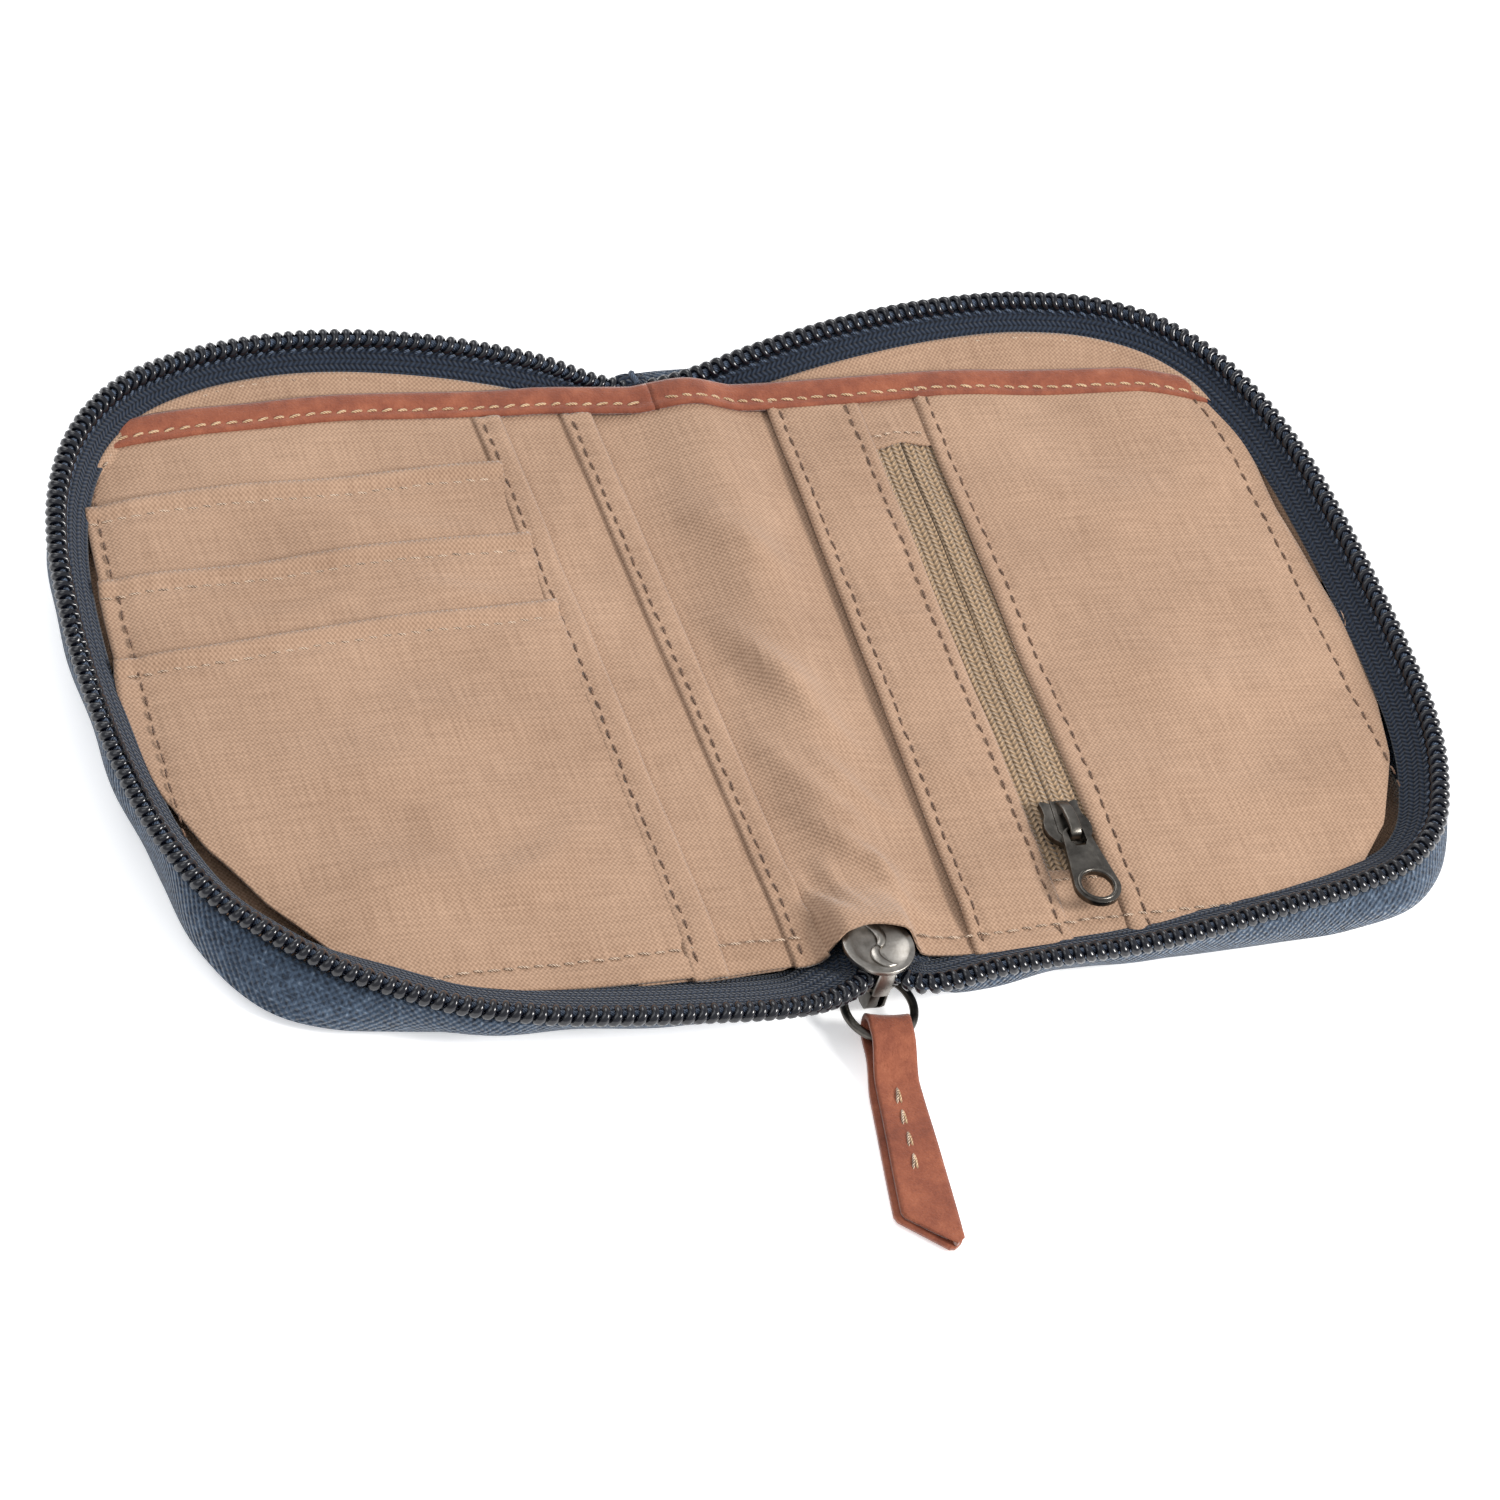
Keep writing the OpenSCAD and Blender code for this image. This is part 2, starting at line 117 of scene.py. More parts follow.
class Nodes:
    """A short way to write a node material around one Principled shader."""

    def __init__(self, name, roughness=0.8):
        self.mat = bpy.data.materials.new(name)
        self.mat.use_nodes = True
        self.tree = self.mat.node_tree
        self.shader = self.tree.nodes["Principled BSDF"]
        self.set(Roughness=roughness)

    def set(self, **values):
        for key, value in values.items():
            self.shader.inputs[key.replace("_", " ")].default_value = value
        return self

    def link(self, source, target):
        self.tree.links.new(source, target)

    def put(self, socket, value):
        if isinstance(value, bpy.types.NodeSocket):
            self.link(value, socket)
        else:
            socket.default_value = value

    def math(self, operation, a, b=0.0):
        node = self.tree.nodes.new("ShaderNodeMath")
        node.operation = operation
        self.put(node.inputs[0], a)
        self.put(node.inputs[1], b)
        return node.outputs[0]

    def add(self, *values):
        total = values[0]
        for value in values[1:]:
            total = self.math("ADD", total, value)
        return total

    def minus(self, a, b):
        return self.math("SUBTRACT", a, b)

    def times(self, a, b):
        return self.math("MULTIPLY", a, b)

    def sine(self, a):
        return self.math("SINE", a)

    def mapped(self, coords, scale):
        mapping = self.tree.nodes.new("ShaderNodeMapping")
        mapping.inputs["Scale"].default_value = scale
        self.link(coords, mapping.inputs[0])
        return mapping.outputs[0]

    def cloth_coords(self, scale=1.0):
        """Lengths along the cloth in mm, from the UV map, so that the weave stays on it at every pose."""
        return self.mapped(self.tree.nodes.new("ShaderNodeUVMap").outputs[0], (scale, scale, scale))

    def object_coords(self):
        """Places on the piece in mm."""
        coords = self.tree.nodes.new("ShaderNodeTexCoord")
        return self.mapped(coords.outputs["Object"], (1 / MM, 1 / MM, 1 / MM))

    def noise(self, coords, scale, detail=2.0, roughness=0.5):
        node = self.tree.nodes.new("ShaderNodeTexNoise")
        self.link(coords, node.inputs["Vector"])
        node.inputs["Scale"].default_value = scale
        node.inputs["Detail"].default_value = detail
        node.inputs["Roughness"].default_value = roughness
        return node.outputs[0]

    def voronoi(self, coords, scale):
        node = self.tree.nodes.new("ShaderNodeTexVoronoi")
        self.link(coords, node.inputs["Vector"])
        node.inputs["Scale"].default_value = scale
        return node.outputs["Distance"]

    def split(self, coords):
        node = self.tree.nodes.new("ShaderNodeSeparateXYZ")
        self.link(coords, node.inputs[0])
        return node.outputs

    def ramp(self, value, stops):
        node = self.tree.nodes.new("ShaderNodeValToRGB")
        self.put(node.inputs[0], value)
        ramp = node.color_ramp
        while len(ramp.elements) < len(stops):
            ramp.elements.new(0.5)
        for element, (place, color) in zip(ramp.elements, stops):
            element.position = place
            element.color = (*color, 1) if len(color) == 3 else color
        return node.outputs[0]

    def bump(self, height, distance, strength=1.0):
        node = self.tree.nodes.new("ShaderNodeBump")
        self.put(node.inputs["Height"], height)
        node.inputs["Strength"].default_value = strength
        node.inputs["Distance"].default_value = distance * MM
        self.link(node.outputs[0], self.shader.inputs["Normal"])

    def color(self, socket):
        self.link(socket, self.shader.inputs["Base Color"])
        return self.mat

    def rough(self, value, low, high):
        node = self.tree.nodes.new("ShaderNodeMapRange")
        self.put(node.inputs["Value"], value)
        node.inputs["To Min"].default_value = low
        node.inputs["To Max"].default_value = high
        self.link(node.outputs[0], self.shader.inputs["Roughness"])

    def streaks(self, coords, x, y):
        """Noise drawn out into streaks x by y mm."""
        return self.noise(self.mapped(coords, (1 / x, 1 / y, 1)), 1.0, 1.0)

    def weave(self, pitch, wobble):
        """Plain weave: yarn crowns that alternate over and under, from -1 to 1."""
        coords = self.cloth_coords(1 / pitch)
        drift = self.times(self.minus(self.noise(coords, 0.35, 2.0), 0.5), 2 * wobble)
        x, y = self.split(coords)[:2]
        return self.times(*[self.sine(self.times(self.add(v, drift), math.pi)) for v in (x, y)])


def flat_cloth(name, dark, light, pitch, bump):
    """Fine plain-woven cloth with slow colour drift and single darker yarns."""
    m = Nodes(name, 0.82)
    crowns = m.weave(pitch, 0.15)
    coords = m.cloth_coords()
    slow = m.noise(coords, 0.035, 3.0)
    yarns = m.add(m.streaks(coords, 9, 0.45), m.streaks(coords, 0.45, 9))
    tone = m.add(m.times(m.minus(yarns, 1.0), 0.55), m.times(m.minus(slow, 0.5), 0.7),
                 m.times(crowns, 0.35), 0.5)
    m.set(Sheen_Weight=0.25, Sheen_Roughness=0.4, Specular_IOR_Level=0.35)
    m.bump(m.add(m.times(crowns, 0.5), m.noise(coords, 1.1, 2.0)), bump)
    return m.color(m.ramp(tone, [(0.0, dark), (1.0, light)]))


def canvas_cloth(name):
    """Coarse slate-blue canvas with lighter and darker flecks along both yarn directions."""
    m = Nodes(name, 0.9)
    crowns = m.weave(0.62, 0.3)
    coords = m.cloth_coords()
    flecks = m.math("MAXIMUM", m.streaks(coords, 2.4, 0.62), m.streaks(coords, 0.62, 2.4))
    tone = m.add(m.times(m.minus(flecks, 0.58), 2.2), m.times(crowns, 0.2),
                 m.times(m.noise(coords, 0.05, 3.0), 0.3), 0.28)
    m.set(Sheen_Weight=0.3, Sheen_Roughness=0.5, Specular_IOR_Level=0.2)
    m.bump(m.add(m.times(crowns, 0.6), flecks), 0.3)
    return m.color(m.ramp(tone, [(0.0, (0.014, 0.023, 0.04)), (0.45, (0.043, 0.068, 0.108)),
                                 (0.8, (0.078, 0.115, 0.17)), (1.0, (0.17, 0.215, 0.28))]))


def knit_tape(name, dark, light, pitch, bump=0.25):
    """Zip tape: columns of small slanted loops that change direction from column to column."""
    m = Nodes(name, 0.88)
    x, y = m.split(m.cloth_coords(1 / pitch))[:2]
    zigzag = m.math("PINGPONG", y, 1.0)
    loops = m.sine(m.times(m.add(x, m.times(zigzag, 0.8)), math.tau))
    columns = m.sine(m.times(y, math.pi))
    height = m.add(m.times(loops, 0.5), m.math("ABSOLUTE", columns))
    grain = m.noise(m.cloth_coords(), 0.9, 2.0)
    m.set(Specular_IOR_Level=0.25, Sheen_Weight=0.15)
    m.bump(height, bump)
    return m.color(m.ramp(m.add(m.times(height, 0.36), m.times(grain, 0.55)), [(0.1, dark), (0.95, light)]))


def leather(name):
    """Rust-coloured leather with a soft nap, darker rubbed patches and fine grain."""
    m = Nodes(name, 0.72)
    coords = m.object_coords()
    fine, nap = m.noise(coords, 2.6, 4.0, 0.65), m.noise(coords, 0.55, 3.0)
    patches = m.noise(coords, 0.13, 3.0)
    m.set(Sheen_Weight=0.35, Sheen_Roughness=0.4, Specular_IOR_Level=0.4)
    m.rough(patches, 0.6, 0.85)
    m.bump(m.add(fine, m.times(m.voronoi(coords, 2.2), 0.4)), 0.14)
    tone = m.add(m.times(fine, 0.3), m.times(nap, 0.4), m.times(patches, 0.5))
    return m.color(m.ramp(tone, [(0.3, (0.115, 0.024, 0.0095)), (0.55, (0.205, 0.05, 0.021)),
                                 (0.72, (0.28, 0.08, 0.036)), (0.9, (0.37, 0.13, 0.068))]))


def metal(name, dark, light, low, high):
    """Darkened antique metal, brighter where it is rubbed."""
    m = Nodes(name, 0.35)
    coords = m.object_coords()
    cloud, fine = m.noise(coords, 0.35, 4.0, 0.6), m.noise(coords, 6.0, 3.0, 0.6)
    m.set(Metallic=1.0)
    m.rough(m.add(m.times(cloud, 0.7), m.times(fine, 0.3)), low, high)
    m.bump(fine, 0.012)
    return m.color(m.ramp(cloud, [(0.3, dark), (0.7, light)]))


def coil_nylon(name, color, rough):
    m = Nodes(name, rough)
    coords = m.object_coords()
    grain = m.noise(coords, 1.5, 2.0)
    m.set(Specular_IOR_Level=0.5, Coat_Weight=0.2, Coat_Roughness=0.12)
    m.rough(grain, rough - 0.08, rough + 0.1)
    return m.color(m.ramp(grain, [(0.3, color), (0.75, tuple(1.9 * c for c in color))]))


def thread(name, dark, light):
    """Twisted sewing thread: slanted bands run round it."""
    m = Nodes(name, 0.62)
    twist = m.sine(m.times(m.add(*m.split(m.cloth_coords())[:2]), math.tau / 0.55))
    # The twist's bands also go into the colour: their dark ends are painted shade in the thread's grooves.
    tone = m.add(m.times(twist, 0.3), m.noise(m.object_coords(), 0.8, 1.0))
    m.set(Sheen_Weight=0.2, Specular_IOR_Level=0.4)
    m.bump(twist, 0.05)
    return m.color(m.ramp(tone, [(0.15, dark), (0.85, light)]))


def fibre_board(name):
    m = Nodes(name, 0.9)
    fibres = m.noise(m.object_coords(), 0.9, 5.0, 0.7)
    m.bump(fibres, 0.08)
    return m.color(m.ramp(fibres, [(0.2, (0.42, 0.39, 0.34)), (0.8, (0.62, 0.59, 0.53))]))


M = {
    "tan": flat_cloth("tan_lining_cloth", (0.225, 0.131, 0.08), (0.47, 0.305, 0.205), 0.42, 0.09),
    "canvas": canvas_cloth("slate_blue_canvas"),
    "tape": knit_tape("navy_zip_tape", (0.0015, 0.0028, 0.0065), (0.022, 0.037, 0.068), 0.95),
    "coil": coil_nylon("navy_nylon_coil", (0.0016, 0.002, 0.0048), 0.2),
    "thread_navy": thread("navy_thread", (0.012, 0.02, 0.038), (0.08, 0.12, 0.19)),
    "leather": leather("rust_leather"),
    "metal": metal("gunmetal", (0.055, 0.05, 0.044), (0.17, 0.157, 0.14), 0.2, 0.42),
    "nickel": metal("antique_nickel", (0.2, 0.185, 0.165), (0.44, 0.415, 0.38), 0.22, 0.45),
    "coin_tape": knit_tape("beige_zip_tape", (0.15, 0.092, 0.048), (0.56, 0.385, 0.235), 1.05, 0.4),
    "thread_brown": thread("brown_thread", (0.07, 0.032, 0.016), (0.22, 0.115, 0.062)),
    # The tan thread's dark end is very deep: painted shade that makes the hem stitches' grooves read as
    # shadowed gaps.
    "thread_tan": thread("tan_thread", (0.11, 0.06, 0.033), (0.74, 0.55, 0.4)),
    "thread_cream": thread("cream_thread", (0.3, 0.165, 0.075), (0.72, 0.5, 0.3)),
    "board": fibre_board("fibre_board"),
}

# --- Mesh tools -----------------------------------------------------------------------------------

# Which way x runs from the spine's middle onto each cover.
HINGE = {"left": -1, "right": 1}


def place(obj, where):
    """where is a body, or left_fold or right_fold for cloth that runs from the spine onto a cover."""
    if where.endswith("_fold"):
        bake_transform(obj)
    else:
        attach(obj, where)


def settle(obj, where, replaces):
    """Gives a piece its body and hides the frame's nodes that it stands for."""
    place(obj, where)
    if replaces:
        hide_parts(*replaces)
    return obj


def add_object(name, mesh):
    obj = bpy.data.objects.new(name, mesh)
    bpy.context.scene.collection.objects.link(obj)
    return obj


def volume(verts, faces):
    """Below zero when the faces look inwards."""
    tris = np.array([(f[0], f[k], f[k + 1]) for f in faces for k in range(1, len(f) - 1)])
    a, b, c = (np.asarray(verts, float)[tris[:, k]] for k in range(3))
    return float((a * np.cross(b, c)).sum())


def build(name, verts, faces, material, where, uv, replaces=()):
    if volume(verts, faces) < 0:
        faces = [f[::-1] for f in faces]
    mesh = bpy.data.meshes.new(name)
    mesh.from_pydata((np.asarray(verts, float) * MM).tolist(), [], faces)
    mesh.validate()
    obj = add_object(name, mesh)
    mesh.materials.append(M[material])
    layer = mesh.uv_layers.new(name="UVMap")
    index = np.zeros(len(mesh.loops), int)
    mesh.loops.foreach_get("vertex_index", index)
    layer.data.foreach_set("uv", np.asarray(uv, float)[index].astype(np.float32).ravel())
    mesh.polygons.foreach_set("use_smooth", [True] * len(mesh.polygons))
    settle(obj, where, replaces)
    if name.startswith("organiser_base"):
        # The two halves of the base cloth meet over the spine, where their cut ends must not show.
        mesh.set_sharp_from_angle(angle=math.radians(60))
    return obj


def grid_faces(rows, cols, wrap_cols=False, start=0, flip=False):
    faces = []
    last = cols if wrap_cols else cols - 1
    for i in range(rows - 1):
        for j in range(last):
            a, b = start + i * cols + j, start + i * cols + (j + 1) % cols
            face = (a, b, b + cols, a + cols)
            faces.append(face[::-1] if flip else face)
    return faces


def normals_of(p):
    n = np.cross(np.gradient(p, axis=1), np.gradient(p, axis=0))
    return n / np.maximum(np.linalg.norm(n, axis=2, keepdims=True), 1e-9)


def slab(name, top, thick, material, where, uv=None, replaces=(), flip=False):
    """A closed sheet under the surface top, an array of rows and columns of points."""
    rows, cols = top.shape[:2]
    n = normals_of(top) * (-1 if flip else 1)
    low = top - n * thick
    verts = np.concatenate([top.reshape(-1, 3), low.reshape(-1, 3)])
    count = rows * cols
    faces = grid_faces(rows, cols, flip=flip) + grid_faces(rows, cols, start=count, flip=not flip)
    ring = ([(0, j) for j in range(cols - 1)] + [(i, cols - 1) for i in range(rows - 1)]
            + [(rows - 1, j) for j in range(cols - 1, 0, -1)] + [(i, 0) for i in range(rows - 1, 0, -1)])
    ids = [i * cols + j for i, j in ring]
    for k, a in enumerate(ids):
        b = ids[(k + 1) % len(ids)]
        face = (a, b, b + count, a + count)
        faces.append(face if flip else face[::-1])
    if uv is None:
        uv = top[:, :, :2]
    uv = np.concatenate([uv.reshape(-1, 2), uv.reshape(-1, 2) + 0.37])
    return build(name, verts, faces, material, where, uv, replaces)


def hermite(points, step):
    """A smooth curve through points of any dimension, in even steps along its first three."""
    p = np.asarray(points, float)
    d = np.maximum(np.linalg.norm(np.diff(p[:, :3], axis=0), axis=1), 1e-6)
    slope = np.diff(p, axis=0) / d[:, None]
    m = np.empty_like(p)
    m[0], m[-1] = slope[0], slope[-1]
    m[1:-1] = (slope[1:] * d[:-1, None] + slope[:-1] * d[1:, None]) / (d[1:] + d[:-1])[:, None]
    fine = []
    for i in range(len(d)):
        t = np.linspace(0, 1, max(2, int(d[i] / 0.2)), endpoint=False)[:, None]
        fine.append((2 * t**3 - 3 * t**2 + 1) * p[i] + (t**3 - 2 * t**2 + t) * d[i] * m[i]
                    + (3 * t**2 - 2 * t**3) * p[i + 1] + (t**3 - t**2) * d[i] * m[i + 1])
    fine = np.concatenate(fine + [p[-1:]])
    return even(fine, step)


def run_length(path):
    """Distance along a path at each of its points."""
    return np.concatenate([[0], np.cumsum(np.linalg.norm(np.diff(path, axis=0), axis=1))])


def even(fine, step):
    s = run_length(fine[:, :3])
    at = np.linspace(0, s[-1], max(2, int(round(s[-1] / step)) + 1))
    return np.stack([np.interp(at, s, fine[:, k]) for k in range(fine.shape[1])], axis=1)


def unit(v):
    return v / np.maximum(np.linalg.norm(v, axis=-1, keepdims=True), 1e-9)


def smooth(a, b, x):
    t = np.clip((np.asarray(x, float) - a) / (b - a), 0, 1)
    return t * t * (3 - 2 * t)


def bell(x, width):
    return np.exp(-(np.asarray(x, float) / width) ** 2)


def tube(name, path, radius, material, where, sides=8, replaces=(), closed=False):
    """A round rod along a path of points; radius may be one number or one per point."""
    path = np.asarray(path, float)
    n = len(path)
    radius = np.broadcast_to(radius, (n,))
    t = unit(np.roll(path, -1, 0) - np.roll(path, 1, 0) if closed else np.gradient(path, axis=0))
    ref = np.array([0, 0, 1.0]) if abs(t[:, 2]).max() < 0.95 else np.array([1.0, 0, 0])
    side = unit(np.cross(t, ref))
    up = np.cross(side, t)
    a = np.linspace(0, math.tau, sides, endpoint=False)
    rings = (path[:, None] + radius[:, None, None] * (np.cos(a)[None, :, None] * side[:, None]
             + np.sin(a)[None, :, None] * up[:, None]))
    verts = rings.reshape(-1, 3)
    faces = grid_faces(n, sides, wrap_cols=True)
    s = run_length(path)
    uv = np.stack([np.repeat(s, sides), np.tile(a * radius.mean(), n)], axis=1)
    if closed:
        faces += [((n - 1) * sides + j, (n - 1) * sides + (j + 1) % sides, (j + 1) % sides, j)
                  for j in range(sides)]
    else:
        faces += [tuple(range(sides))[::-1], tuple((n - 1) * sides + j for j in range(sides))]
    return build(name, verts, faces, material, where, uv, replaces)


def capsules(name, centres, directions, ups, length, width, height, material, where, replaces=()):
    """Many small rounded stitches in one piece, each lying along its direction."""
    stations, sides = 5, 6
    u = np.linspace(-1, 1, stations + 2)[1:-1]
    a = np.linspace(0, math.tau, sides, endpoint=False)
    verts, faces, uv = [], [], []
    length = np.broadcast_to(length, (len(centres),))
    for c, d, up, size in zip(centres, unit(directions), unit(ups), length):
        side = np.cross(d, up)
        base = len(verts)
        verts.append(c - d * size / 2 - up * height * 0.5)
        uv.append((0, 0))
        for v in u:
            r = math.sqrt(max(0.0, 1 - abs(v) ** 3))
            middle = c + d * v * size / 2 - up * height * 0.5 * v * v
            for angle in a:
                verts.append(middle + side * math.cos(angle) * r * width / 2
                             + up * math.sin(angle) * r * height / 2)
                uv.append((v * size / 2, angle * width / 2))
        verts.append(c + d * size / 2 - up * height * 0.5)
        uv.append((size / 2, 0))
        first, last = base + 1, base + 1 + (stations - 1) * sides
        for j in range(sides):
            faces.append((base, first + (j + 1) % sides, first + j))
            faces.append((len(verts) - 1, last + j, last + (j + 1) % sides))
        faces += grid_faces(stations, sides, wrap_cols=True, start=first)
    return build(name, verts, faces, material, where, uv, replaces)


def sew(name, path, pitch, length, material, where, width=0.42, height=0.34, skew=0.0, lift=0.1,
        wander=0.1):
    """A row of stitches along a path of 3D points on cloth that faces up."""
    path = even(np.asarray(path, float), pitch)
    middle = (path[1:] + path[:-1]) / 2
    d = unit(path[1:] - path[:-1])
    side = unit(np.cross(d, [0, 0, 1.0]))
    up = np.cross(side, d)
    k = np.arange(len(middle))
    turn = skew + 0.1 * np.sin(k * 2.3 + len(name))
    d2 = d * np.cos(turn)[:, None] + side * np.sin(turn)[:, None]
    middle = middle + up * lift + side * (wander * np.sin(k * 1.7 + len(name)))[:, None]
    size = length * (1 + 0.13 * np.sin(k * 3.1 + 1.3))
    return capsules(name, middle, d2, up, size, width, height, material, where)


# --- The organiser's relief -----------------------------------------------------------------------

def ripple(x, y):
    """Slow unevenness of pressed cloth."""
    return (0.22 * np.sin(x / 9.1 + 0.7 * np.sin(y / 13.0)) * np.sin(y / 15.7 + 1.1)
            + 0.16 * np.sin((x + y) / 7.3 + 0.9 * np.sin(x / 11.0)) + 0.1 * np.sin((x - 1.7 * y) / 6.1 + 2.0))


def crease(x, y, x0, y0, x1, y1, width, height):
    """One soft fold in the cloth from one point to another, fading towards both ends."""
    dx, dy = x1 - x0, y1 - y0
    size = math.hypot(dx, dy)
    along = ((x - x0) * dx + (y - y0) * dy) / size / size
    across = ((x - x0) * dy - (y - y0) * dx) / size
    bow = 0.06 * size * np.sin(np.clip(along, 0, 1) * math.pi)
    fade = smooth(-0.08, 0.35, along) * (1 - smooth(0.6, 1.08, along))
    return height * fade * bell(across - bow, width)


# Soft folds in the cloth: x and y of both ends, width and height.
SPINE_CREASES = [(-4, 38, 15, 14, 4.0, 1.3), (-6, 12, 12, -16, 3.2, 1.5), (-2, 2, 15, -26, 2.6, 1.4),
                 (-7, -12, 9, -44, 2.6, 1.3), (-5, -30, 13, -54, 2.2, 1.3), (2, -22, 17, -40, 2.0, 1.0),
                 (-10, -42, -1, -62, 1.6, 1.6), (6, -44, 12, -60, 1.6, 1.4), (-3, -44, 1, -60, 1.5, 1.2),
                 (-11, -52, -4, -60, 1.3, 1.4)]
LEFT_CREASES = [(-98, -12, -50, -20, 7, 0.8), (-86, -38, -40, -44, 5, 0.9), (-70, -2, -36, -14, 5, 0.7),
                (-66, -50, -36, -30, 4, 0.8), (-60, 36, -36, 30, 2.5, 0.5), (-56, 21, -35, 15, 2.2, 0.6),
                (-90, 14, -60, 20, 2.4, 0.4), (-27, 20, -16, -10, 2.5, 0.35)]
RIGHT_CREASES = [(52, 36, 96, 28, 6, 0.6), (56, -4, 100, -16, 6, 0.6), (54, -30, 92, -40, 5, 0.5),
                 (20, 12, 34, 4, 2.5, 0.35), (20, -22, 34, -34, 2.5, 0.4)]
# Seams and hems that follow the organiser's outer edges: places (x, y) from the far end or from the left.
LEFT_SEAM = [(-98, 56), (-100.5, 50), (-102.5, 38), (-103.7, 20), (-104.5, 4), (-105.2, -12), (-105.6, -24),
             (-105, -36), (-101, -46), (-94, -54), (-86, -59.5)]
RIGHT_SEAM = [(99, 56), (101.5, 46), (102.8, 34), (103.5, 18), (103.7, 0), (104.2, -18), (105, -34),
              (105.2, -46)]
LEFT_HEM = [(-80, -62.8), (-70, -62), (-60, -61.6), (-46, -61.2), (-32, -60.8), (-20, -60.6), (-10.5, -60.4)]
RIGHT_HEM = [(9, -62.0), (14, -62.6), (20, -62.7), (27, -62.3), (40, -61.6), (52, -61.1), (64, -60.8),
             (73, -60.9), (82, -61.6)]
# Distance from the spine's middle to the organiser's outer edge, by place along the holder.
EDGE_Y = (-66.5, -65.5, -63, -59.5, -54, -46, -36, -24, -10, 6, 20, 32, 42, 50, 56, 61.5)
EDGE_LEFT = (70, 78, 83.5, 88.5, 95.5, 102.5, 107.3, 109, 108.6, 107.8, 107, 106, 105, 103.8, 102, 98)
EDGE_RIGHT = (56, 66, 81.5, 90, 99, 105.8, 109, 109.4, 108.4, 107.4, 106.3, 106.2, 106, 105, 103, 100)


def edge_x(side, y):
    return np.interp(y, EDGE_Y, EDGE_LEFT if side < 0 else EDGE_RIGHT)


def relief(x, y):
    """Height of the cloth that the pockets are made of."""
    x, y = np.asarray(x, float), np.asarray(y, float)
    z = 7.35 + ripple(x, y) * smooth(10, 25, abs(x))
    for c in LEFT_CREASES + RIGHT_CREASES:
        z = z + crease(x, y, *c)
    edge = np.where(x < 0, edge_x(-1, y), edge_x(1, y)) - abs(x)
    z = z - 1.0 * (1 - smooth(0, 12, edge)) - 0.9 * (1 - smooth(-67, -55, y))
    corner = smooth(70, 104, abs(x)) * (1 - smooth(-64, -34, y))
    z = z - 1.1 * corner + 0.7 * smooth(20, 60, abs(x)) * (1 - smooth(60, 100, abs(x))) * smooth(-60, -30, y)
    return z


def spine_cloth(x, y):
    """The base cloth between the pockets: it stands up over the spine, creased towards the slider."""
    x, y = np.asarray(x, float), np.asarray(y, float)
    z = 6.5 + 0 * x
    top = 3.1 + 0.5 * np.sin(y / 21.0 + 0.6)
    ridge = 5.0 + 2.0 * np.sin(y / 30.0)
    z = z + top * np.where(x < ridge, bell(x - ridge, 8.5), bell(x - ridge, 7.5)) * smooth(-70, -50, y)
    near = 1 - smooth(-63, -50, y)
    z = z + near * (12.9 - z) * (1 - smooth(5.0, 9.6, abs(x - 0.1)))
    for c in SPINE_CREASES:
        z = z + crease(x, y, *c) * bell(x - 3, 17)
    return z


def over(x, y):
    """Height of whatever cloth lies at a point: the pockets, or the base cloth between them."""
    inside = smooth(-14.5, -10.5, x) * (1 - smooth(17.5, 21, x))
    return np.maximum(relief(x, y), spine_cloth(x, y)) * inside + relief(x, y) * (1 - inside)


def constant(value):
    return lambda place: np.full(np.shape(place), float(value))


def straight(far, near):
    """x as a function of y on a straight seam, from far at the trim to near at the near edge."""
    return lambda y: far + (near - far) * (56 - np.asarray(y, float)) / 120


def shifted(edge, by):
    return lambda place: edge(place) + by


def along_y(points):
    """x as a function of y through points that run from far to near."""
    return lambda y: np.interp(y, [p[1] for p in points[::-1]], [p[0] for p in points[::-1]])


def along_x(points):
    return lambda x: np.interp(x, [p[0] for p in points], [p[1] for p in points])


def spread(low, high, inner, outer, rows, cols, span):
    """Rows of x and y between two ends, functions of x, and two sides, functions of y.

    span is roughly where the ends lie; the sides are looked up there.
    """
    v, u = np.meshgrid(np.linspace(0, 1, rows), np.linspace(0, 1, cols), indexing="ij")
    y = span[0] + (span[1] - span[0]) * v
    x = inner(y) + (outer(y) - inner(y)) * u
    return x, low(x) + (high(x) - low(x)) * v


def cloth(name, low, inner, outer, lift, where, replaces, high=None, thick=0.35, step=1.0, height=None,
          extra=None):
    """Cloth between two sides, from low, a number or a function of x, up to high."""
    high = TOP_EDGE if high is None else high
    to_near_edge = callable(low)
    span = (-62 if to_near_edge else low, high)
    rows = int(round((high - (-66 if to_near_edge else low)) / step)) + 1
    cols = int(round(abs(float(outer(0.0) - inner(0.0))) / step)) + 1
    x, y = spread(low if to_near_edge else constant(low), constant(high), inner, outer, max(3, rows),
                  max(4, cols), span)
    z = (height or relief)(x, y) + lift
    if extra is not None:
        z = z + extra(x, y)
    top = np.stack([x, y, z], axis=2)
    return slab(name, top[:, ::-1] if x[0, 0] > x[0, -1] else top, thick, "tan", where, replaces=replaces)


def on_cloth(points, lift, height=relief, step=0.8):
    """A seam line laid on the cloth: the points are x and y."""
    path = hermite([(x, y, 0) for x, y in points], step)
    path[:, 2] = height(path[:, 0], path[:, 1]) + lift
    return path


def down_seam(line, end=-64):
    """Points along a seam, from the trim to the near edge."""
    return [(line(y), y) for y in np.linspace(55, end, 20)]


def seam_stitches(name, path, where):
    sew(name, path, 3.1, 2.2, "thread_brown", where)


def hem_stitches(name, path, where, pitch=2.6, length=2.1, skew=0.12, width=0.46):
    sew(name, path, pitch, length, "thread_tan", where, skew=skew, width=width)


# --- Rims: outer canvas, tape, coil and lining ----------------------------------------------------
# Each station gives the coil's middle (x, y, z) and the bottom edge (x, y), on the +X side. In the slider's
# gate the wall's top (x, y, z) stands between them.

